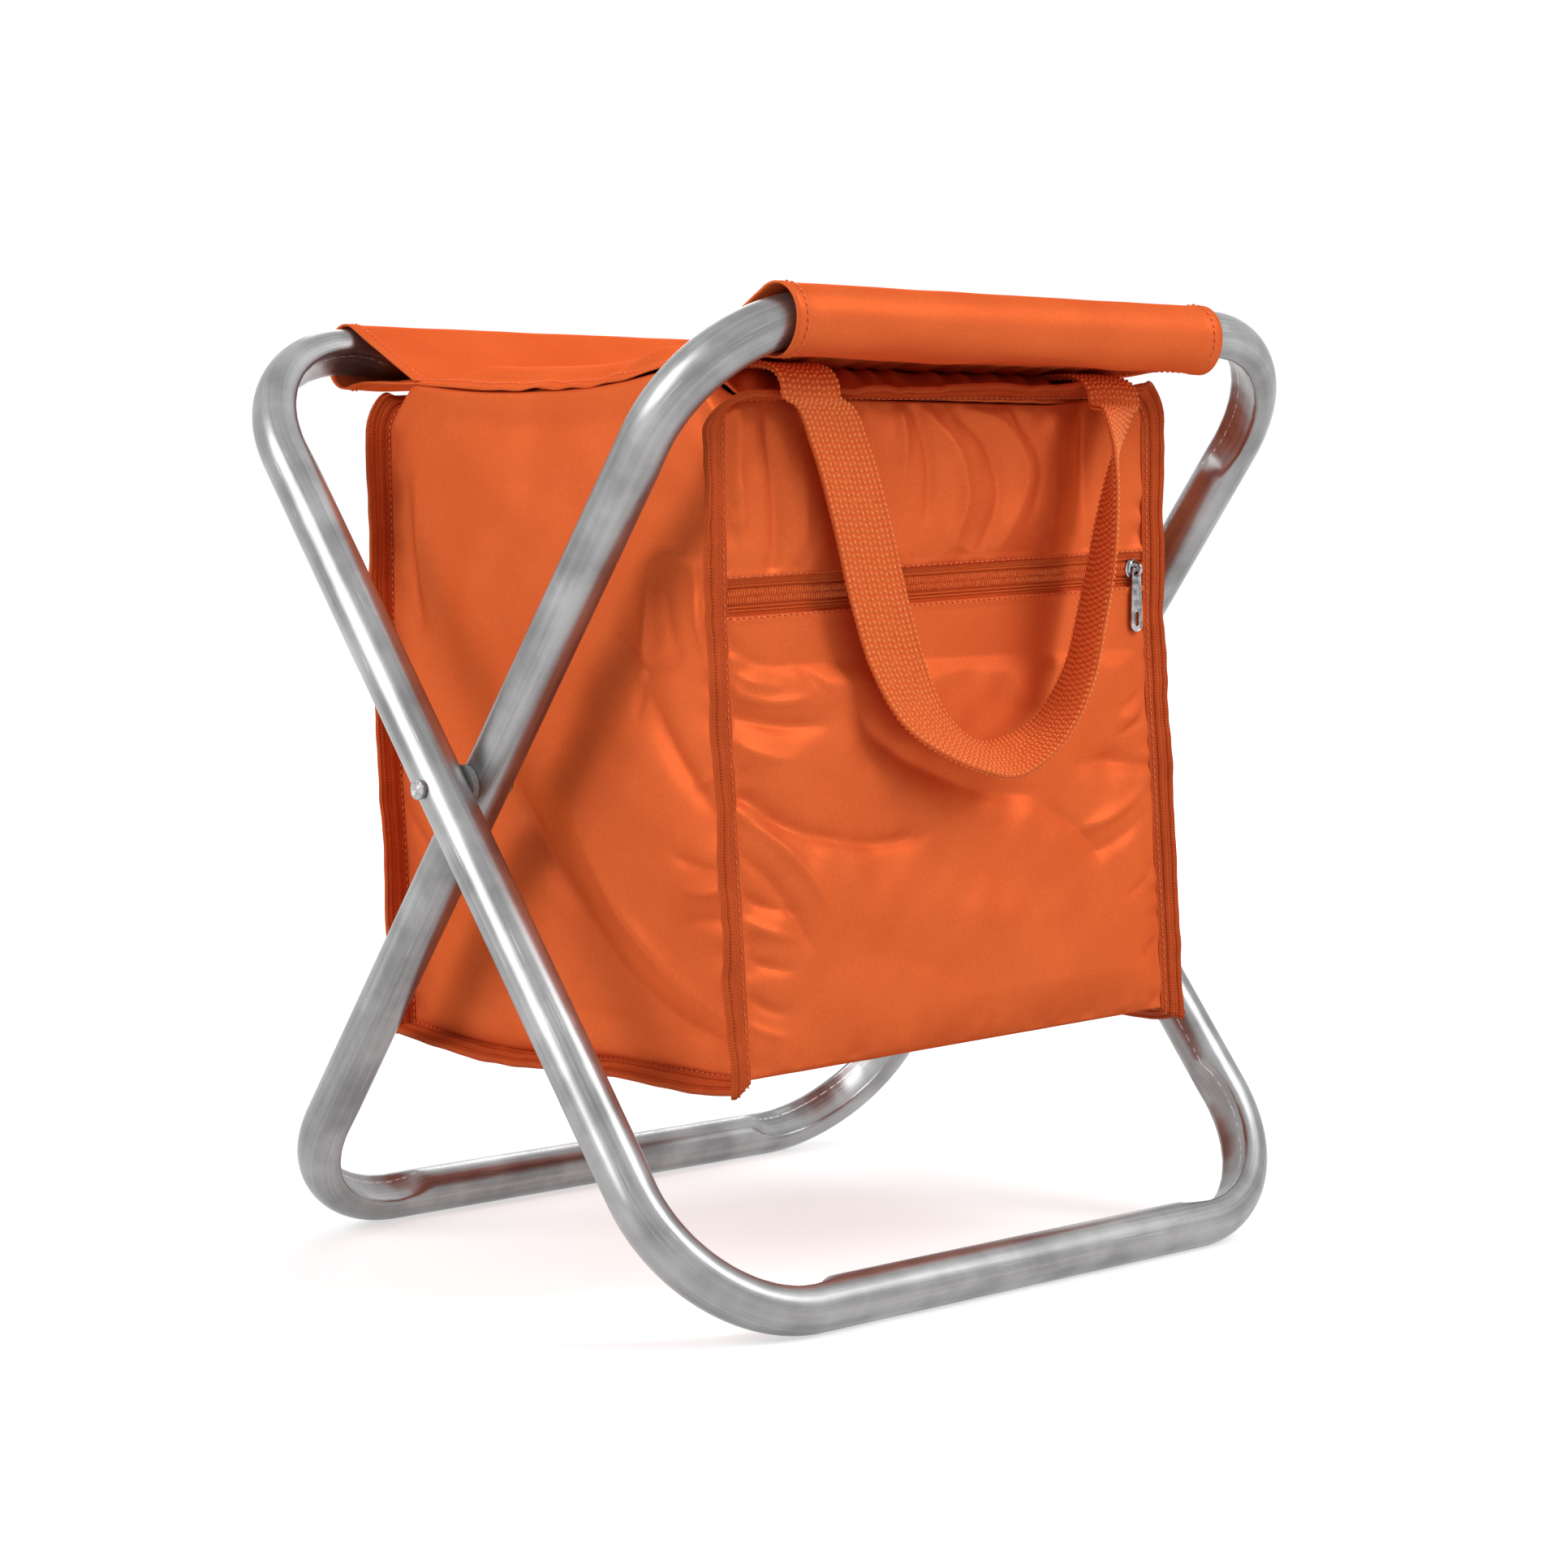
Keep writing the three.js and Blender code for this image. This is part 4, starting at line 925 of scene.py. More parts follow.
lower_folds = [
    ((-98, 262), (-74, 238), -0.05, 5.0, -1.8), ((-118, 254), (-86, 246), -0.15, 3.0, -1.3),
    ((-118, 247), (-94, 238), -0.2, 2.5, 1.0), ((-118, 237), (-80, 233), -0.15, 3.0, 1.4),
    ((-118, 229), (-72, 223), -0.12, 4.5, -2.6), ((-118, 219), (-90, 210), -0.15, 3.0, 1.2),
    ((-118, 203), (-70, 178), -0.18, 4.5, -2.8), ((-76, 180), (-20, 178), -0.16, 4.5, -2.4),
    ((-118, 191), (-77, 152), 0.14, 3.5, 2.0), ((-118, 177), (-86, 138), 0.14, 3.5, -1.8),
    ((-118, 162), (-92, 152), -0.15, 2.6, -1.5), ((-118, 153), (-94, 142), -0.15, 2.5, 1.2),
    ((-118, 139), (-95, 130), -0.15, 2.5, -1.4), ((-118, 124), (-97, 113), -0.15, 2.6, -1.3),
    ((-118, 112), (-99, 104), -0.1, 2.4, 1.0), ((-52, 222), (-10, 199), -0.12, 7.0, -2.8),
    ((-12, 199), (45, 189), -0.10, 7.0, -2.8), ((40, 186), (77, 161), 0.10, 5.0, -2.0),
    ((66, 198), (112, 195), 0.12, 6.0, -3.0), ((62, 171), (112, 188), -0.10, 4.0, 2.0),
    ((70, 161), (112, 176), -0.10, 3.5, -1.4), ((112, 228), (96, 221), 0.1, 2.5, -1.3),
    ((112, 216), (94, 210), 0.1, 2.5, -1.3), ((112, 222), (98, 216), 0.1, 2.2, 1.0),
    ((112, 150), (92, 141), 0.1, 3.0, -1.4), ((112, 120), (96, 114), 0.1, 3.0, -1.2),
    ((66, 256), (73, 218), 0.1, 7.0, -1.2), ((-20, 150), (50, 140), -0.1, 14.0, 0.9),
    ((-60, 132), (-10, 118), 0.1, 10.0, -0.9), ((30, 238), (52, 214), 0.1, 6.0, 1.0),
]
upper_folds = [
    ((-110, 341), (-107, 286), -0.10, 4.5, 1.7), ((-98, 342), (-92, 286), 0.10, 4.5, -2.4),
    ((-82, 340), (-80, 288), 0.10, 6.0, 0.9), ((-44, 340), (-40, 290), 0.10, 5.0, -1.0),
    ((-26, 345), (-26, 320), 0.05, 4.5, 2.0), ((-17, 342), (-13, 302), 0.20, 3.2, -1.5),
    ((-8, 340), (-5, 285), 0.50, 4.6, 2.1), ((5, 342), (16, 288), 0.65, 3.6, -1.7),
    ((14, 346), (27, 290), 0.80, 5.0, 2.2), ((33, 344), (44, 300), 0.60, 3.6, -1.6),
    ((30, 347), (38, 336), 0.30, 3.0, 1.3), ((60, 342), (58, 288), 0.10, 5.0, 0.9),
    ((79, 343), (78, 284), 0.10, 6.0, -2.6), ((97, 340), (95, 290), 0.05, 6.0, 1.2),
    ((-38, 293), (-26, 285), 0.20, 2.4, 1.0), ((2, 291), (16, 285), 0.20, 2.4, 1.0),
    ((50, 294), (62, 285), 0.20, 2.6, 1.1), ((-66, 296), (-60, 285), 0.20, 2.8, -1.0),
]


def mirrored(folds, shift, share):
    """Every second fold, turned the other way, moved up or down and made lower."""
    return [((-a[0], a[1] + shift), (-b[0], b[1] + shift), -bow, width, height * share)
            for a, b, bow, width, height in folds[::2]]


def face_panel(part, folds, zip_height, slope, seed, columns, rows):
    """A front or back panel above or below its zip, in the squarely cut bag."""
    share_x = np.linspace(-1, 1, columns)[:, None]
    share_z = np.linspace(0, 1, rows)[None, :]
    x = share_x * half_bag * np.ones_like(share_z)
    line = zip_height + x * math.tan(slope)
    if part == "lower":
        low, high = bag_bottom + 0 * x, line - zip_window / 2
        zip_gap = (high - low) * (1 - share_z)
        rise = (high - low) * share_z
        heavy = smooth_step((share_x + 0.9) / 1.3)
        rolled = 1 - np.clip(rise / (roll_height + (bulge_height - roll_height) * heavy), 0, 1)
        bulge = roll_bulge * heavy * np.exp(-(np.clip(rise - bulge_height, 0, None) / bulge_run) ** 2)
        turned_in = (1 - heavy) * np.sqrt(1 - rolled ** 2) + heavy * (1 - rolled ** 1.3)
        swell = (lower_swell + bulge) * turned_in * (1 - np.abs(share_x) ** 7)
    else:
        beyond = np.clip(np.abs(x) - (half_bag - bag_corner), 0, None)
        rounding = np.sqrt(np.clip(bag_corner ** 2 - beyond ** 2, 0, None))
        low, high = line + zip_window / 2, bag_top - bag_corner + rounding
        zip_gap = (high - low) * share_z
        swell = upper_swell * (1 - share_x ** 6) * (1 - (2 * share_z - 1) ** 4)
    z = low + (high - low) * share_z
    end_gap = np.minimum((high - low) * share_z, (high - low) * (1 - share_z))
    side_gap = (1 - np.abs(share_x)) * half_bag
    drawn = puckers(z, side_gap, seed=seed, **face_side_puckers)
    drawn += puckers(x, end_gap, seed=seed + 1, **face_end_puckers)
    loose = face_wave * waves(x, z, face_wave_pitch, seed + 2)
    loose = loose + face_ripple * waves(x, z, face_ripple_pitch, seed + 3)
    rim = smooth_step(np.minimum(side_gap, end_gap) / rim_reach)
    out = swell + (strokes(x, z, folds) + drawn + loose) * rim
    if part == "lower":
        room = puller_room + 0.5 * np.clip(puller_room_end - z, 0, None)
        out = room - room_softness * np.logaddexp(0, (room - out) / room_softness)
    out = out + hem_welt * (1 - smooth_step((zip_gap - welt_width) / welt_softness))
    out = np.where(zip_gap > 0, out, 0)
    return np.stack([x, -bag_face - out, z], axis=-1), np.stack([x, z], axis=-1)


def add_face_panels(face, zip_height, slope, folds):
    """The face's two panels, each with a stitched welt beside the zip. The last row at the
    zip is turned back to the tape."""
    turn = 1 if face == "front" else -1
    welts = []
    for part, strokes_given, rows in (("lower", folds[0], 150), ("upper", folds[1], 70)):
        points, uv = face_panel(part, strokes_given, zip_height, slope, 20 + turn, 170, rows)
        points[..., :2] *= turn
        points = settle(points)
        panel = cloth_object(f"bag_{face}_{part}_cloth", points, uv, nylon, (0, -turn, 0))
        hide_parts(f"bag_{face}_{part}_panel")
        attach(panel, body_of_cloth)
        height = float(points[0, -1, 2] - points[0, 0, 2]) + bag_corner * (part == "upper")
        edge = points[2:-2, -2 if part == "lower" else 1].copy()
        edge[:, 2] += welt_wobble * np.sin(2 * np.pi * edge[:, 0] / welt_wobble_pitch)
        edge[:, 1] -= turn * welt_stitch_lift
        welts.append((edge, np.array([0.0, -turn, 0.0])))
    stitches(f"bag_{face}_zip_stitches", welts)


add_face_panels("front", pocket_zip_height, zip_slope, (lower_folds, upper_folds))
add_face_panels("back", main_zip_height, 0, (mirrored(lower_folds, 12, 0.8), mirrored(upper_folds, 16, 0.6)))


# Side panels: nylon cut in one piece from the bottom edge up, turned over into the top at
# a soft corner and sewn in at all its edges.
side_swell = 0.0058
side_puckers = dict(height=0.0008, pitch=0.019, reach=0.010, wander=2.0, wander_pitch=0.08)
side_wave, side_wave_pitch = 0.0007, 0.07
side_ripple, side_ripple_pitch = 0.0002, 0.025
side_folds = [
    ((92, 338), (-96, 336), 0.02, 7.0, -2.2), ((89, 316), (79, 262), 0.05, 4.0, -2.4),
    ((80, 318), (69, 262), 0.05, 6.0, 1.8), ((-62, 240), (-67, 283), 0.10, 4.0, 2.0),
    ((-67, 286), (-92, 284), -0.35, 4.0, 2.0), ((-93, 283), (-99, 246), 0.05, 3.5, 1.6),
    ((-78, 276), (-83, 250), 0.05, 5.0, -1.0), ((-66, 233), (-98, 190), 0.15, 7.0, -3.4),
    ((-66, 243), (-50, 257), 0.10, 2.5, -1.4), ((-66, 243), (-85, 251), 0.10, 2.5, -1.2),
    ((-66, 243), (-57, 227), 0.10, 2.5, -1.2), ((33, 215), (-40, 126), 0.10, 10.0, -3.6),
    ((-38, 128), (-98, 102), 0.10, 8.0, -2.4), ((-16, 186), (-93, 113), 0.15, 7.0, 2.0),
    ((-101, 169), (-76, 173), -0.10, 2.5, -1.6), ((-101, 162), (-79, 161), -0.10, 2.5, 1.4),
    ((-101, 150), (-78, 147), 0.10, 2.5, -1.2), ((-101, 205), (-84, 199), 0.10, 2.5, 1.1),
    ((60, 113), (-92, 105), 0.02, 6.0, -1.4), ((62, 242), (44, 198), 0.05, 12.0, -1.8),
    ((98, 240), (84, 226), 0.10, 3.0, -1.4), ((98, 180), (82, 168), 0.10, 3.5, -1.4),
    ((20, 320), (-40, 300), -0.05, 12.0, -1.4), ((50, 300), (20, 250), 0.05, 16.0, 1.2),
]


def crown(x, y):
    """How far the bag's top stands above its drawn-up sides, at a place in the square bag."""
    beyond = np.clip((np.abs(y) - panel_reach) / (side_reach - panel_reach), 0, 1)
    ends = top_crown * np.where(beyond > 0, 1 - beyond ** 2, (y / panel_reach) ** 2)
    return np.maximum(ends * (1 - (x / half_bag) ** 8 * 0.6) - side_rise(x, y, bag_top), 0)


def side_panel(sign, seed, columns=150, rows=170):
    """The left (-1) or right (1) side, from its bottom edge to where it turns over."""
    y = np.linspace(-1, 1, columns)[:, None] * side_reach
    radius = corner_radius(y)
    wall = bag_top - radius - bag_bottom
    arc = radius * math.pi / 2
    run = np.linspace(0, 1, rows)[None, :] * (wall + arc)
    y = y + 0 * run
    turn = np.clip((run - wall) / arc, 0, 1) * math.pi / 2
    x = half_bag - radius + radius * np.cos(turn)
    z = bag_bottom + np.minimum(run, wall) + radius * np.sin(turn)
    share_y, share_run = y / side_reach, run / (wall + arc)
    rolled = 1 - np.clip(run / roll_height, 0, 1)
    swell = side_swell * (1 - share_y ** 6) * (1 - np.clip(2 * share_run - 1, 0, 1) ** 6)
    swell = swell * np.sqrt(1 - rolled ** 2)
    side_gap = (1 - np.abs(share_y)) * side_reach
    drawn = puckers(run, side_gap, seed=seed, **side_puckers)
    loose = side_wave * waves(y, run, side_wave_pitch, seed + 1)
    loose = loose + side_ripple * waves(y, run, side_ripple_pitch, seed + 2)
    edge = np.minimum(np.minimum(side_gap, run), wall + arc - run)
    out = (strokes(y, z, side_folds) + drawn + loose) * smooth_step(edge / rim_reach) + swell
    out = out * np.clip(np.cos(turn), 0, 1) ** 0.5
    rise = crown(half_bag - radius, y) * smooth_step((z - rise_floor) / rise_height)
    points = np.stack([sign * (x + out * np.cos(turn)), y, z + rise], axis=-1)
    return points, np.stack([y, run], axis=-1)


for side_name, sign in (("left", -1), ("right", 1)):
    points, uv = side_panel(sign, 40 + sign)
    panel = cloth_object(f"bag_{side_name}_cloth", settle(points), uv, nylon, (sign, 0, 0))
    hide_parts(f"bag_{side_name}_panel")
    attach(panel, body_of_cloth)


# Top and bottom panels: nylon sewn in between the sides. The top rises to the seat's two
# seams, and is drawn into puckers beside the bindings. The bottom sags a little.
panel_lift = 0.0002
top_face_gap, top_side_gap = 0.0008, 0.0001
strip_place, strip_width, strip_grip = 0.0960, 0.0075, 0.005
strip_pucker = 0.0017
strip_lead_place = 0.0965
bottom_sag = 0.0022
bottom_wave, bottom_wave_pitch = 0.0003, 0.08

top_x, top_y = np.meshgrid(
    np.linspace(-1, 1, 170), np.linspace(-1, 1, 120) * (bag_face - top_face_gap), indexing="ij")
top_x = top_x * (half_bag - corner_radius(top_y) - top_side_gap)
strip = np.exp(-((np.abs(top_y) - strip_place) / strip_width) ** 2)
strip = strip * smooth_step((bag_face - np.abs(top_y)) / strip_grip)
gathered = gathers(top_x, 0.35 * (np.abs(top_y) - strip_lead_place))
top_z = bag_top + panel_lift + crown(top_x, top_y) + strip_pucker * strip * gathered
top = cloth_object("bag_top_cloth", settle(np.stack([top_x, top_y, top_z], axis=-1)),
                   np.stack([top_x, top_y], axis=-1), nylon, (0, 0, 1))
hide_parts("bag_top_panel")
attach(top, body_of_cloth)

bottom_x, bottom_y = np.meshgrid(
    np.linspace(-half_bag, half_bag, 60), np.linspace(-bag_face, bag_face, 56), indexing="ij")
hollow = bottom_sag * (1 - (bottom_x / half_bag) ** 4) * (1 - (bottom_y / bag_face) ** 4)
bottom_ripple = bottom_wave * waves(bottom_x, bottom_y, bottom_wave_pitch, 9)
bottom_z = bag_bottom + panel_lift - hollow + bottom_ripple
bottom = cloth_object("bag_bottom_cloth", settle(np.stack([bottom_x, bottom_y, bottom_z], axis=-1)),
                      np.stack([bottom_x, bottom_y], axis=-1), nylon, (0, 0, -1))
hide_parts("bag_bottom_panel")
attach(bottom, body_of_cloth)


# Insulation: boards of soft foam faced with crinkled foil, which stiffen every wall behind
# the cloth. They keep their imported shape, and follow the bag's corners up and down.
foil_relief = 0.0005

foil, start = new_material("foil_faced_foam")
crinkle = own_noise(start, 160.0, 4.0)
put_out(start, start.node("ShaderNodeBsdfPrincipled", {
    "Base Color": crinkle.step(0.3, 0.7).blend((0.5, 0.51, 0.52), (0.66, 0.67, 0.68)), "Metallic": 0.7,
    "Roughness": 0.28 + crinkle * 0.2,
    "Normal": start.node("ShaderNodeBump", {"Height": crinkle, "Strength": 0.5, "Distance": foil_relief}),
}))
for node_name in [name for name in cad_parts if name.startswith("insulation_")]:
    board_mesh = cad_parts[node_name].data.copy()
    board_mesh.transform(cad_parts[node_name].matrix_world)
    board_mesh.materials.clear()
    board_mesh.materials.append(foil)
    corners = np.zeros(len(board_mesh.vertices) * 3)
    board_mesh.vertices.foreach_get("co", corners)
    corners = corners.reshape(-1, 3)
    low = np.clip((lean_start - corners[:, 2]) / (lean_start - bag_bottom), 0, 1)
    corners[:, 2] += hang((corners[:, 0] - cloth_shift) / half_bag, corners[:, 1] / bag_face, low)
    board_mesh.vertices.foreach_set("co", corners.ravel())
    board = put_in_scene(node_name + "_foil_board", board_mesh)
    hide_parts(node_name)
    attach(board, body_of_cloth)


# Bindings: knitted tape folded over the seam edges and stitched through, standing out
# like a fin. Its outer part is corded, its inner part is flat and carries the stitches.
fin_width = 0.0125
fin_thickness = 0.0026
fin_root_gap = -0.0018
fin_step = 0.0018
ladder_pitch = 0.00125
stitch_share = 0.19
corner_turn = 0.016
corner_down = {1: -0.36, -1: -0.15}
corner_flare = {(1, -1): 0.0, (1, 1): 0.8, (-1, -1): 0.8, (-1, 1): 0.8}
corner_parts = 8
fin_tail = 0.002
fin_sway, fin_sway_pitch = 0.0007, 0.05
fin_ripple, fin_ripple_pitch = 0.0003, 0.018
knit_pitch = 0.0009
knit_relief = 0.0002
rung_length, rung_width, rung_height = 0.00075, 0.0017, 0.0006
rung_lift = 0.00003
ladder_shares = (0.425, 0.80)

binding, start = new_material("knitted_binding_tape")
fin_u, fin_v = surface_lengths(start)
cords = start.math("SINE", fin_v * (2 * math.pi / knit_pitch))
loops = start.math("SINE", fin_u * (2 * math.pi / knit_pitch) + cords * 0.9)
wear = own_noise(start, 60.0, 3.0)
knit = cords * 0.5 + loops * 0.5
put_out(start, start.node("ShaderNodeBsdfPrincipled", {
    "Base Color": (knit * 0.3 + wear * 0.7).step(0.0, 0.7).blend((0.44, 0.060, 0.015), (0.64, 0.105, 0.026)),
    "Roughness": 0.5 + wear * 0.15, "Specular IOR Level": 0.08, "Specular Tint": (1.0, 0.5, 0.28, 1),
    "Normal": start.node("ShaderNodeBump", {"Height": knit, "Strength": 0.5, "Distance": knit_relief}),
}))


def resample(rows, step):
    """Points along a broken line at even steps, with every column carried along."""
    rows = np.array(rows, float)
    run = np.concatenate([[0], np.cumsum(np.linalg.norm(np.diff(rows[:, :3], axis=0), axis=1))])
    places = np.linspace(0, run[-1], max(2, round(run[-1] / step)))
    return np.stack([np.interp(places, run, rows[:, k]) for k in range(rows.shape[1])], axis=1), places


def fin_half(share):
    """Half the fin's thickness at a share of its width: a flat inner band, a groove, then
    three cords and a round edge."""
    inner = 0.62 + 0.10 * np.exp(-((share - 0.03) / 0.03) ** 2)
    corded = 0.92 + 0.13 * np.cos((share - 0.50) / 0.155 * 2 * np.pi)
    half = np.where(share < 0.38, inner, corded)
    half = half * (1 - 0.42 * np.exp(-((share - 0.385) / 0.022) ** 2))
    rounding = np.sqrt(np.clip(1 - np.clip((share - 0.93) / 0.07, 0, 1) ** 2, 0, 1))
    return fin_thickness / 2 * half * rounding


def fin_frame(rows, seed):
    """The fin's root line, the ways across and through it, its sway and the run along it."""
    rows, run = resample(rows, fin_step)
    root, across = rows[:, :3], unit(rows[:, 3:])
    through = unit(np.cross(np.gradient(root, axis=0), across))
    sway = fin_sway * waves(run, 0 * run, fin_sway_pitch, seed)
    sway = sway + fin_ripple * waves(run, 0 * run, fin_ripple_pitch, seed + 1)
    return root, across, through, sway, run


def fin_line(shape, share, side, lift):
    """A line on one face of the fin, at a share of its width, and that face's way up."""
    root, across, through, sway, _ = shape
    away = side * (float(fin_half(np.array(share))) + lift) + sway * share
    line = root + across * (fin_root_gap + fin_width * share) + through * away[:, None]
    return line, side * through


def fin_mesh(name, shape):
    """The tape as one closed mesh, with its run and girth as UV."""
    root, across, through, sway, run = shape
    shares = np.concatenate([np.linspace(0, 0.93, 26), np.linspace(0.945, 1.0, 5)])
    half = fin_half(shares)
    ring_out = np.concatenate([shares, shares[-2::-1]])
    ring_half = np.concatenate([half, -half[-2::-1]])
    points = (root[:, None] + across[:, None] * (fin_root_gap + fin_width * ring_out)[None, :, None]
              + through[:, None] * (ring_half[None, :, None] + (sway[:, None] * ring_out[None])[..., None]))
    girth = np.cumsum(np.concatenate([[0], np.hypot(np.diff(ring_out) * fin_width, np.diff(ring_half))]))
    uv = np.stack(np.broadcast_arrays(run[:, None], girth[None]), axis=-1)
    mesh = mesh_of_rings(name, points, uv, closed_round=True, cap_ends=True)
    mesh.materials.append(binding)
    return mesh


def turned_down(way, reach, way_down):
    """A fin's way across, turned out and down as it nears a bottom corner of the bag."""
    share = float(smooth_step(reach / corner_turn))
    down = np.array([math.copysign(0.88, way[0]), -0.34, way_down])
    return np.array(way) * share + down * (1 - share)


def face_fin_rows(turn):
    """Up the left edge of a face, over its round corners and down the right edge."""
    left_way, right_way = np.array([-0.96, -0.28, 0]), np.array([0.99, -0.15, 0])
    top_way = np.array([0, -0.985, 0.14])
    corner_x, corner_z = half_bag - bag_corner, bag_top - bag_corner
    upright = np.linspace(bag_bottom - fin_tail, corner_z, 40)
    down = corner_down[turn]
    rows = [[-half_bag, -bag_face, z, *turned_down(left_way, z - bag_bottom, down)] for z in upright]
    left_order, right_order = range(1, corner_parts), range(corner_parts - 1, -1, -1)
    for side, way, order in ((-1, left_way, left_order), (1, right_way, right_order)):
        for k in order:
            share = k / corner_parts
            angle = math.pi / 2 * share
            x = side * (corner_x + bag_corner * math.cos(angle))
            flare = corner_flare[turn, side] * math.sin(math.pi * share)
            mixed = way * (1 - share) + top_way * share + np.array([0, 0, flare])
            rows.append([x, -bag_face, corner_z + bag_corner * math.sin(angle), *mixed])
    rows += [[half_bag, -bag_face, z, *turned_down(right_way, z - bag_bottom, down)]
             for z in upright[::-1][1:]]
    rows = np.array(rows)
    rows[:, :2] *= turn
    rows[:, 3:5] *= turn
    rows[:, :3] = settle(rows[:, :3])
    return rows


def side_fin_rows(sign):
    """Along the bottom edge of a side, hanging out and down."""
    rows = []
    for y in np.linspace(-bag_face, bag_face, 60):
        way = np.array([sign * 0.85, 0, -0.38 + 0.17 * y / bag_face])
        across = turned_down(way, bag_face - abs(y), corner_down[-1 if y > 0 else 1])
        across[1] *= -math.copysign(1, y)
        rows.append([sign * half_bag, y, bag_bottom, *across])
    rows = np.array(rows)
    rows[:, :3] = settle(rows[:, :3])
    return rows


fin_rows = {
    "binding_front": face_fin_rows(1), "binding_back": face_fin_rows(-1),
    "binding_left_bottom": side_fin_rows(-1), "binding_right_bottom": side_fin_rows(1),
}
for fin_number, (fin_name, rows) in enumerate(fin_rows.items()):
    shape = fin_frame(rows, 60 + 3 * fin_number)
    fin = put_in_scene(fin_name + "_tape", fin_mesh(fin_name + "_tape", shape))
    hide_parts(fin_name)
    ladder_rung = bead(fin_name + "_rung", rung_length, rung_width, rung_height)
    rungs = [fin_line(shape, share, side, rung_lift) for share in ladder_shares for side in (-1, 1)]
    ladder_mesh = parts_along(fin_name + "_ladders", rungs, ladder_rung, ladder_pitch, binding)
    ladder = put_in_scene(fin_name + "_ladders", ladder_mesh)
    for made in (fin, ladder):
        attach(made, body_of_cloth)
    stitch_lines = [fin_line(shape, stitch_share, side, stitch_lift) for side in (-1, 1)]
    stitches(fin_name + "_stitches", stitch_lines)


# Handles: 30 mm webbing in a basket weave with raised dots, sewn in at the seat's seam at
# both ends and hanging as a loop that turns edge-on at its right arm.
handle_width = 0.030
handle_thickness = 0.0016
handle_half_span = 0.085
handle_drop = 0.1485
handle_reach = 0.015
handle_root = 0.3545
tab_line = [(-0.0863, 0.3592), (-0.0985, 0.3594), (-0.1085, 0.3584), (-0.1150, 0.3556), (-0.1178, 0.3515)]
loop_start_y, loop_start_drop = -0.1185, 0.0075
tab_end, loop_end = (0.1150, 0.3575), (0.1205, 0.3480)
strap_cup = 0.0005
strap_rows = 420
dot_pitch = 0.00245
dot_rows = 12
dot_length, dot_width, dot_height = 0.0021, 0.0016, 0.0014
dot_sink = 0.0001
warp_pitch, weft_pitch = 0.0012, 0.0008
webbing_relief = 0.0002
# Shares of the half span, reach and drop, then turn and tilt in degrees.
handle_shares = [
    (-1.0, 1.0, 0.0, 0, 0), (-0.93, 0.92, 0.07, 0, 0), (-0.81, 0.8, 0.17, 0, 2),
    (-0.67, 0.74, 0.37, 0, 5), (-0.56, 0.74, 0.58, 0, 6), (-0.46, 0.8, 0.74, 4, 10),
    (-0.34, 1.05, 0.88, 18, 14), (-0.17, 1.3, 0.96, 38, 17), (-0.02, 1.42, 0.995, 52, 20),
    (0.15, 1.42, 1.0, 56, 28), (0.35, 1.46, 0.96, 60, 26), (0.52, 1.46, 0.88, 63, 22),
    (0.64, 1.5, 0.77, 64, 14), (0.72, 1.5, 0.63, 64, 6), (0.78, 1.53, 0.5, 63, 2),
    (0.83, 1.53, 0.36, 57, 2), (0.88, 1.5, 0.23, 47, 2), (0.93, 1.4, 0.13, 32, 0),
    (0.97, 1.2, 0.06, 14, 0), (1.0, 1.0, 0.0, 0, 0),
]

webbing, start = new_material("basket_weave_webbing")
web_u, web_v = surface_lengths(start)
thread_rows = start.math("SINE", web_v * (2 * math.pi / weft_pitch))
thread_rows = thread_rows * start.math("SINE", web_u * (2 * math.pi / warp_pitch))
fuzz = own_noise(start, 500.0)
web_tone = (thread_rows * 0.2 + fuzz * 0.6).step(0.1, 0.6)
put_out(start, start.node("ShaderNodeBsdfPrincipled", {
    "Base Color": web_tone.blend((0.70, 0.116, 0.029), (0.90, 0.172, 0.044)),
    "Roughness": 0.55 + fuzz * 0.1, "Specular IOR Level": 0.1, "Specular Tint": (1.0, 0.6, 0.4, 1),
    "Normal": start.node("ShaderNodeBump", {
        "Height": thread_rows + fuzz * 0.3, "Strength": 0.3, "Distance": webbing_relief}),
}))

web_dot, start = new_material("webbing_raised_yarn")
fuzz = own_noise(start, 900.0)
put_out(start, start.node("ShaderNodeBsdfPrincipled", {
    "Base Color": fuzz.step(0.3, 0.7).blend((0.88, 0.22, 0.06), (0.98, 0.30, 0.095)),
    "Roughness": 0.42 + fuzz * 0.1, "Specular IOR Level": 0.3, "Specular Tint": (1.0, 0.6, 0.4, 1),
}))


def handle_rows():
    """The strap's middle and the way across it, from one sewn end to the other."""
    loop = []
    for x_share, reach_share, drop_share, turn, tilt in handle_shares:
        turn, tilt = math.radians(turn), math.radians(tilt)
        loop.append([
            x_share * handle_half_span, -bag_face - reach_share * handle_reach,
            handle_root - drop_share * handle_drop,
            math.cos(turn) * math.cos(tilt), math.sin(turn) * math.cos(tilt), math.sin(tilt)])
    loop = np.array(loop)
    loop[0, 1:3] = loop[-1, 1:3] = (loop_start_y, handle_root - loop_start_drop)
    first_tab, second_tab = [np.array([[side * handle_half_span, y, z, 1, 0, 0] for y, z in tab_line])
                             for side in (-1, 1)]
    return np.concatenate([first_tab, loop, second_tab[::-1]])


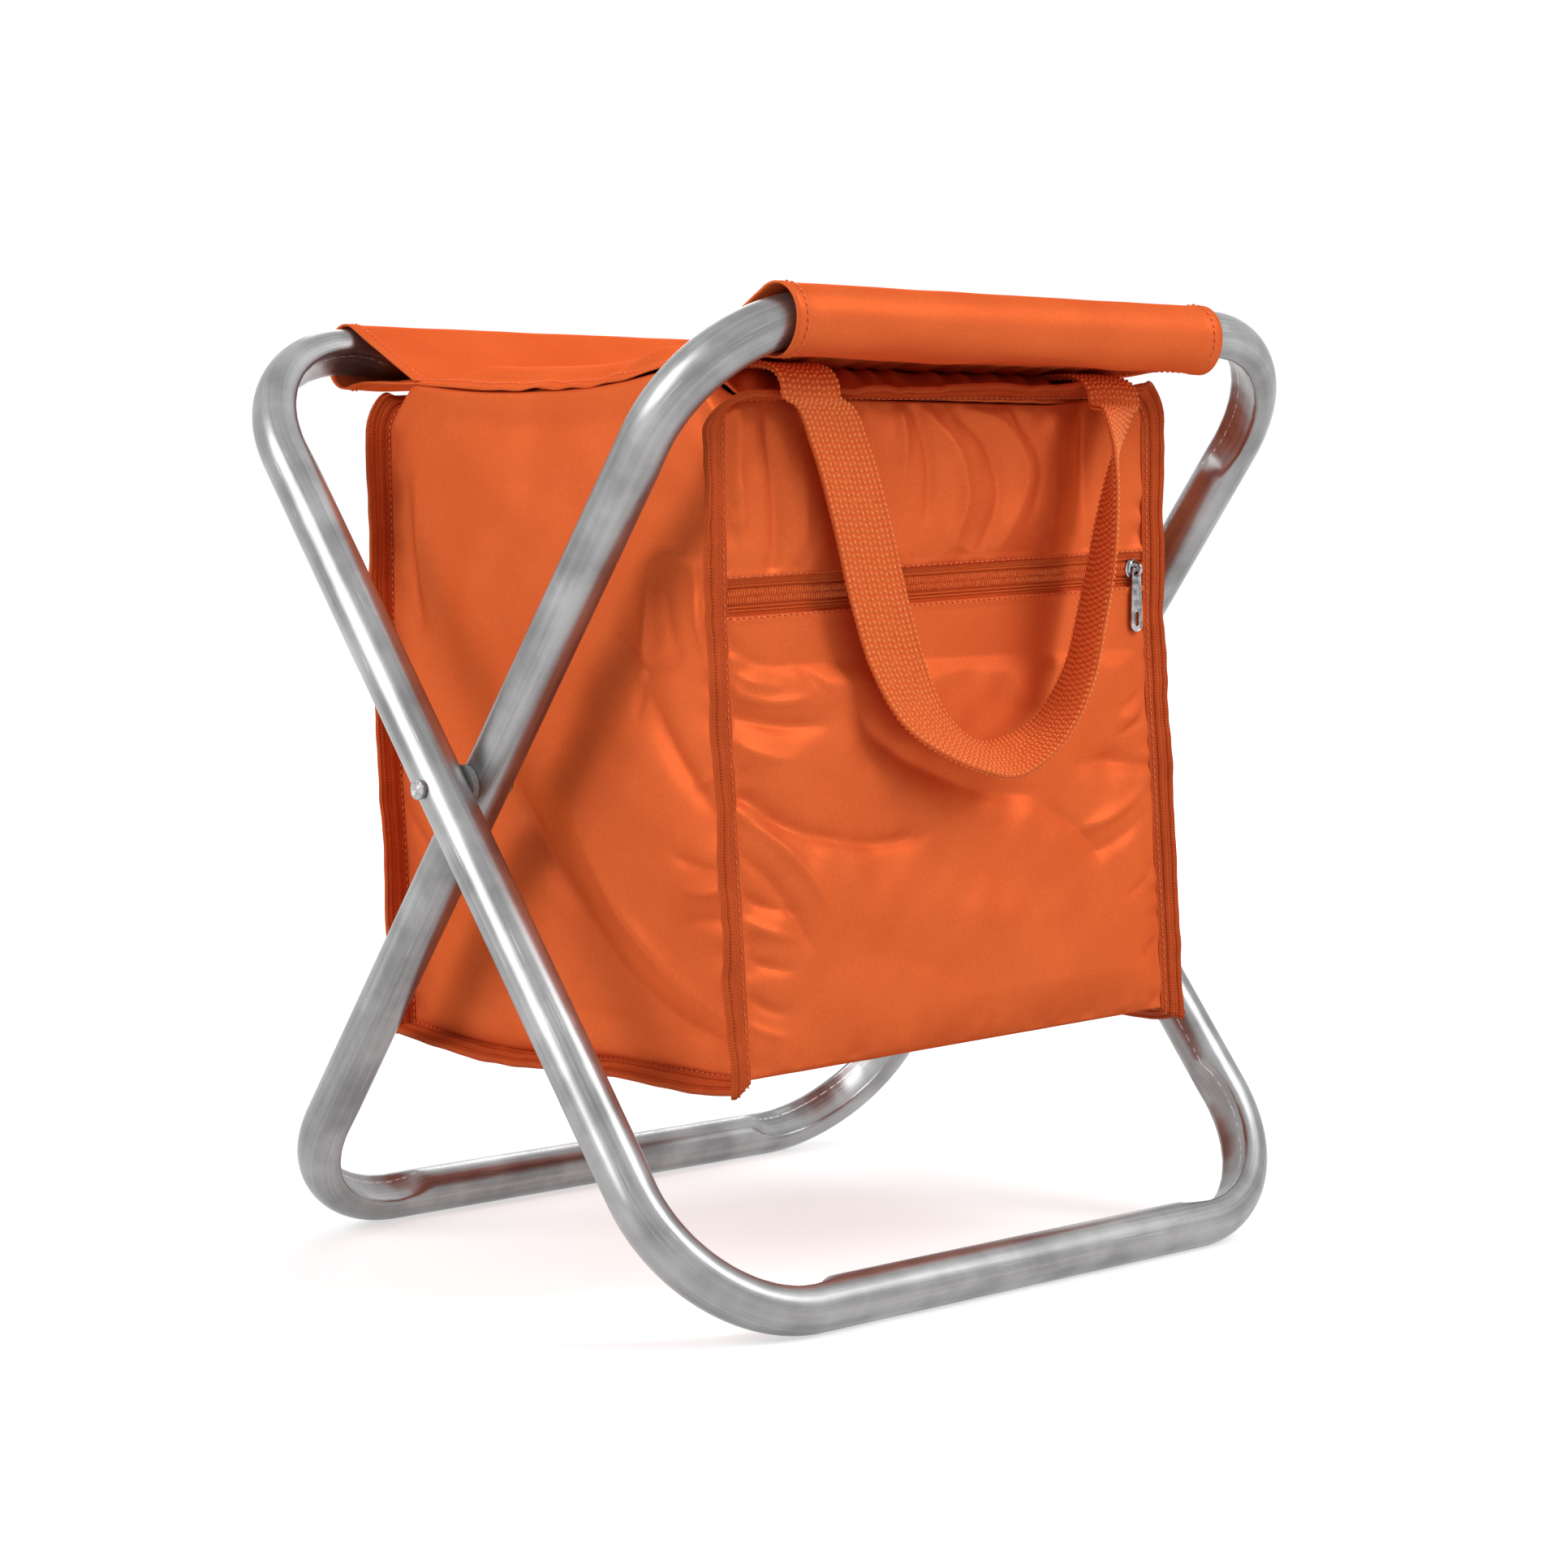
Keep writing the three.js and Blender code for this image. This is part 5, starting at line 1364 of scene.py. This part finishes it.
def spline(rows, count):
    """A smooth curve through rows, by their distance, and the places along it."""
    run = np.concatenate([[0], np.cumsum(np.linalg.norm(np.diff(rows[:, :3], axis=0), axis=1))])
    places = np.linspace(0, run[-1], count)
    slope = np.gradient(rows, run, axis=0)
    k = np.clip(np.searchsorted(run, places, side="right") - 1, 0, len(run) - 2)
    gap = (run[k + 1] - run[k])[:, None]
    t = ((places - run[k]) / (run[k + 1] - run[k]))[:, None]
    a, b = rows[k], rows[k + 1]
    return ((2 * t ** 3 - 3 * t ** 2 + 1) * a + (t ** 3 - 2 * t ** 2 + t) * gap * slope[k]
            + (-2 * t ** 3 + 3 * t ** 2) * b + (t ** 3 - t ** 2) * gap * slope[k + 1]), places


def handle_meshes(name, turn):
    """The strap, its raised dots on both faces, and its length."""
    rows, run = spline(handle_rows(), strap_rows)
    middle, across = rows[:, :3], unit(rows[:, 3:])
    along = unit(np.gradient(middle, axis=0))
    face = unit(np.cross(along, across))
    flip = np.array([turn, turn, 1.0])

    def place_at(share, rise):
        rise = rise + strap_cup * share ** 2
        spot = middle + across * (handle_width / 2 * share)[:, None] + face * rise[:, None]
        return spot * flip + [cloth_shift, 0, 0]

    shares = np.linspace(-1, 1, 25)
    crown_at = handle_thickness / 2 * (1 - 0.55 * np.abs(shares) ** 10)
    ring_side = np.concatenate([shares, shares[::-1]])
    ring_half = np.concatenate([crown_at, -crown_at[::-1]])
    nub = 1 + 0.018 * np.sin(2 * np.pi * run / dot_pitch)
    points = np.stack([place_at(nub * side if abs(side) > 0.999 else side + 0 * run, half + 0 * run)
                       for side, half in zip(ring_side, ring_half)], axis=1)
    girth = ring_side * handle_width / 2
    uv = np.stack(np.broadcast_arrays(run[:, None], girth[None]), axis=-1)
    mesh = mesh_of_rings(name, points, uv, closed_round=True, cap_ends=True)
    mesh.materials.append(webbing)
    lines = []
    for row in range(dot_rows):
        share = -0.92 + 1.84 * row / (dot_rows - 1)
        shifted = slice(2 * (row % 2), len(run) - 2 * (row % 2))
        for side in (-1, 1):
            line = place_at(share + 0 * run, side * (handle_thickness / 2 - dot_sink) + 0 * run)
            lines.append((line[shifted], side * (face * flip)[shifted]))
    dot = bead(name + "_dot", dot_length, dot_width, dot_height, rings=4)
    dots = parts_along(name + "_dots", lines, dot, dot_pitch, web_dot)
    return mesh, dots, float(run[-1])


for face_name, turn in (("front", 1), ("back", -1)):
    strap_mesh, dots_mesh, strap_length = handle_meshes(f"handle_{face_name}_webbing", turn)
    strap, dots = put_in_scene(strap_mesh.name, strap_mesh), put_in_scene(dots_mesh.name, dots_mesh)
    handle_node = f"handle_{face_name}"
    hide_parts(handle_node, handle_node + "_first_end", handle_node + "_second_end")
    swing_start, swing_end = [(0, -turn * reach, height) for reach, height in (tab_end, loop_end)]
    for made in (strap, dots):
        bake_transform(made)


# Zips: woven tape with a nylon coil, shut by a plated slider with a long puller. The
# pocket zip crosses the front, the main zip the back.
zip_end_gap = 0.0018
zip_half = half_bag - zip_end_gap
parks = {"pocket_zip": 0.1092, "main_zip": 0.110}
cord_depth = 0.0005
core_depth, core_width, core_thickness = 0.0012, 0.0080, 0.0007
tooth_pitch = 0.00130
tooth_reach = 0.0013
tooth_length, tooth_width, tooth_height = 0.0007, 0.0033, 0.0018
cord_places = (0.0040, 0.0052, 0.0064)
cord_pitch = 0.0009
loop_length, loop_width, loop_height = 0.0008, 0.0015, 0.0013
rib_pitch = 0.0016
tape_relief = 0.0003

zip_tape, start = new_material("ribbed_zip_tape")
place_x = start.node("ShaderNodeSeparateXYZ", {0: start.node("ShaderNodeTexCoord", output=3)})
place_z = place_x.beside(2)
rib = start.math("SINE", (place_z - place_x * math.tan(zip_slope)) * (2 * math.pi / rib_pitch))
mesh_knit = start.math("SINE", place_x * (2 * math.pi / cord_pitch))
put_out(start, start.node("ShaderNodeBsdfPrincipled", {
    "Base Color": (rib * 0.35 + mesh_knit * 0.15 + 0.5).blend((0.70, 0.120, 0.029), (0.92, 0.200, 0.052)),
    "Roughness": 0.6, "Specular IOR Level": 0.08, "Specular Tint": (1.0, 0.55, 0.3, 1),
    "Normal": start.node("ShaderNodeBump", {
        "Height": rib + mesh_knit * 0.3, "Strength": 0.6, "Distance": tape_relief}),
}))

coil, start = new_material("nylon_zip_coil")
tint = own_noise(start, 900.0)
put_out(start, start.node("ShaderNodeBsdfPrincipled", {
    "Base Color": tint.step(0.3, 0.7).blend((0.76, 0.145, 0.036), (0.95, 0.24, 0.07)),
    "Roughness": 0.42 + tint * 0.1, "Specular IOR Level": 0.15, "Specular Tint": (1.0, 0.7, 0.5, 1),
}))

chrome, start = new_material("plated_zinc")
rub = own_noise(start, 260.0, 3.0)
put_out(start, start.node("ShaderNodeBsdfPrincipled", {
    "Base Color": rub.step(0.3, 0.7).blend((0.16, 0.16, 0.165), (0.50, 0.50, 0.51)), "Metallic": 0.95,
    "Roughness": 0.12 + rub * 0.12,
}))


def swept(name, path, ups, width, height, material, sides=10, closed=False):
    """A wire of oval section along a path, open or closed on itself."""
    along = np.gradient(path, axis=0)
    if closed:
        along = np.roll(path, -1, axis=0) - np.roll(path, 1, axis=0)
    across = unit(np.cross(along, ups))
    top = unit(np.cross(across, along))
    turn = np.linspace(0, 2 * np.pi, sides, endpoint=False)
    rings = (path[:, None] + across[:, None] * (np.cos(turn) * width / 2)[None, :, None]
             + top[:, None] * (np.sin(turn) * height / 2)[None, :, None])
    if closed:
        rings = np.concatenate([rings, rings[:1]])
    uv = np.zeros((*rings.shape[:2], 2))
    mesh = mesh_of_rings(name, rings, uv, closed_round=True, cap_ends=not closed)
    mesh.materials.append(material)
    return mesh


def plate(name, loops, near, far, material, round_edge=0.0):
    """A flat plate in XZ between two depths, bounded by its first loop and pierced by the
    others. A rounded edge draws the first loop's near and far rims in."""
    flat = [[Vector((x, 0, z)) for x, z in loop] for loop in loops]
    triangles = tessellate_polygon(flat)
    corners = [corner for loop in flat for corner in loop]
    middle = sum(flat[0], Vector()) / len(flat[0])
    levels = ((near, 1 - round_edge), (near + (far - near) * 0.3, 1.0), (near + (far - near) * 0.7, 1.0),
              (far, 1 - round_edge))
    work = bmesh.new()
    rims = []
    for depth, size in levels:
        rim = []
        for k, corner in enumerate(corners):
            shrunk = middle + (corner - middle) * size if k < len(flat[0]) else corner
            rim.append(work.verts.new((shrunk.x, depth, shrunk.z)))
        rims.append(rim)
    for a, b, c in triangles:
        work.faces.new((rims[0][a], rims[0][b], rims[0][c]))
        work.faces.new((rims[-1][c], rims[-1][b], rims[-1][a]))
    first = 0
    for loop in flat:
        for lower, upper in zip(rims, rims[1:]):
            for k in range(len(loop)):
                a, b = first + k, first + (k + 1) % len(loop)
                work.faces.new((lower[a], lower[b], upper[b], upper[a]))
        first += len(loop)
    bmesh.ops.recalc_face_normals(work, faces=work.faces)
    mesh = bpy.data.meshes.new(name)
    work.to_mesh(mesh)
    work.free()
    mesh.materials.append(material)
    return mesh


def joined(name, meshes):
    """One mesh of several."""
    work = bmesh.new()
    for mesh in meshes:
        work.from_mesh(mesh)
    made = bpy.data.meshes.new(name)
    work.to_mesh(made)
    work.free()
    made.materials.append(meshes[0].materials[0])
    return made


def stadium(half_width, low, high, count=14, narrow=1.0):
    """A long outline with round ends, narrower at its top by a share."""
    points = []
    top_radius = half_width * narrow
    ends = ((low + half_width, half_width, math.pi), (high - top_radius, top_radius, 0))
    for centre, radius, first in ends:
        for k in range(count + 1):
            angle = first + math.pi * k / count
            points.append((radius * math.cos(angle), centre + radius * math.sin(angle)))
    return points


slider_half = 0.0043
slider_low, slider_high = -0.0043, 0.0043
front_plate = (-0.0018, -0.0004)
back_plate = (0.0026, 0.0039)
plate_share = 0.98
plate_rounding, dome_rounding = 0.10, 0.16
dome_height, dome_sink = 0.0006, 0.0002
neck_half, neck_low, neck_high = 0.0009, 0.0016, 0.0040
neck_sink = 0.0002
bridge_reach = 0.0055
bridge_half, bridge_sink = 0.0031, 0.0004
bridge_width, bridge_height = 0.0012, 0.0019
bridge_parts = 16
puller_front, puller_back = -0.0040, -0.0028
puller_low, puller_high = -0.0259, 0.0006
puller_half = 0.0030
slot_half, slot_low, slot_high = 0.0014, -0.0243, -0.0175
hole_half, hole_low, hole_high = 0.0009, -0.0034, -0.0008
tag_front_gap, tag_back_gap = 0.0003, 0.0001
rim_width, slot_rim_width, rim_height = 0.0011, 0.0007, 0.00125


def slider_mesh(name):
    """Two plates with a neck between them and a bridge in front, round the slider's middle."""
    outline = stadium(slider_half, slider_low, slider_high, narrow=plate_share)
    front = plate(name, [outline], *front_plate, chrome, plate_rounding)
    back = plate(name, [outline], *back_plate, chrome, plate_rounding)
    dome_outline = stadium(slider_half * 0.72, slider_low * 0.8, slider_high * 0.8, narrow=plate_share)
    dome = plate(name, [dome_outline], front_plate[0] - dome_height, front_plate[0] + dome_sink,
                 chrome, dome_rounding)
    turn = np.linspace(0, np.pi, bridge_parts)
    arch_y = front_plate[0] + bridge_sink - bridge_reach * 0.84 * np.sin(turn) ** 0.8
    arch = np.stack([0 * turn, arch_y, bridge_half * np.cos(turn)], axis=-1)
    bridge_ups = np.tile([1.0, 0, 0], (bridge_parts, 1))
    bridge = swept(name, arch, bridge_ups, bridge_width, bridge_height, chrome)
    neck = plate(name, [stadium(neck_half, neck_low, neck_high)],
                 front_plate[1] - neck_sink, back_plate[0] + neck_sink, chrome)
    return joined(name, [front, dome, back, bridge, neck])


def puller_mesh(name):
    """A long tag with a raised rim, a hole for the bridge and a slot near its free end."""
    outline = stadium(puller_half, puller_low, puller_high, narrow=0.72)
    slot = stadium(slot_half, slot_low, slot_high, count=10)
    hole = stadium(hole_half, hole_low, hole_high, count=8)
    tag = plate(name, [outline, slot, hole], puller_front + tag_front_gap, puller_back - tag_back_gap, chrome)
    middle = (puller_front + puller_back) / 2
    rims = []
    for loop, width in ((outline, rim_width), (slot, slot_rim_width)):
        path = np.array([(x, middle, z) for x, z in loop])
        rim_ups = np.tile([0, -1.0, 0], (len(path), 1))
        rims.append(swept(name, path, rim_ups, width, rim_height, chrome, closed=True))
    return joined(name, [tag, *rims])


def zip_line(x, depth, rise, turn, zip_height, slope):
    """A line along a zip, so far behind the bag's face and above the zip's middle."""
    line = np.stack([x, -bag_face + depth + 0 * x, zip_height + x * math.tan(slope) + rise], axis=-1)
    return line * [turn, turn, 1] + [cloth_shift, 0, 0]


for zip_name, turn, zip_height, slope in (
        ("pocket_zip", 1, pocket_zip_height, zip_slope), ("main_zip", -1, main_zip_height, 0)):
    dress([f"{zip_name}_tape_upper", f"{zip_name}_tape_lower"], zip_tape)
    outward = np.array([0.0, -turn, 0.0])
    lines, cord_lines = [], []
    for side in (-1, 1):
        first, last = -zip_half + tooth_pitch / 4 * (1 + side), zip_half - tooth_pitch / 4 * (1 - side)
        x = np.linspace(first, last, 40)
        lines.append((zip_line(x, 0, side * tooth_reach, turn, zip_height, slope), outward))
        for cord_place in cord_places:
            line = zip_line(x, cord_depth, side * cord_place, turn, zip_height, slope)
            cord_lines.append((line, outward))
    tooth = bead(zip_name + "_tooth", tooth_length, tooth_width, tooth_height)
    teeth = put_in_scene(zip_name + "_coil", parts_along(zip_name + "_coil", lines, tooth, tooth_pitch, coil))
    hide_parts(zip_name + "_chain")
    loop_part = bead(zip_name + "_loop", loop_length, loop_width, loop_height, rings=4)
    cords_mesh = parts_along(zip_name + "_tape_cords", cord_lines, loop_part, cord_pitch, zip_tape)
    cords_made = put_in_scene(cords_mesh.name, cords_mesh)
    core_line = zip_line(x, core_depth, 0, turn, zip_height, slope)
    core_ups = np.tile([0, -1.0, 0], (len(x), 1))
    core_mesh = swept(zip_name + "_tape_core", core_line, core_ups, core_width, core_thickness, zip_tape)
    core = put_in_scene(core_mesh.name, core_mesh)
    for made in (teeth, cords_made, core):
        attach(made, body_of_cloth)
    park = parks[zip_name]
    spot = Vector((turn * park + cloth_shift, -turn * bag_face, zip_height + park * math.tan(slope)))
    set_down = Matrix.Translation(spot) @ Matrix.Rotation(0 if turn > 0 else math.pi, 4, "Z")
    for part_name, part_mesh in (("slider", slider_mesh(f"{zip_name}_cast_slider")),
                                 ("puller", puller_mesh(f"{zip_name}_cast_puller"))):
        part_mesh.transform(set_down)
        metal_part = put_in_scene(part_mesh.name, part_mesh)
        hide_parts(f"{zip_name}_{part_name}")
        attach(metal_part, f"{zip_name.split('_')[0]}_{part_name}")
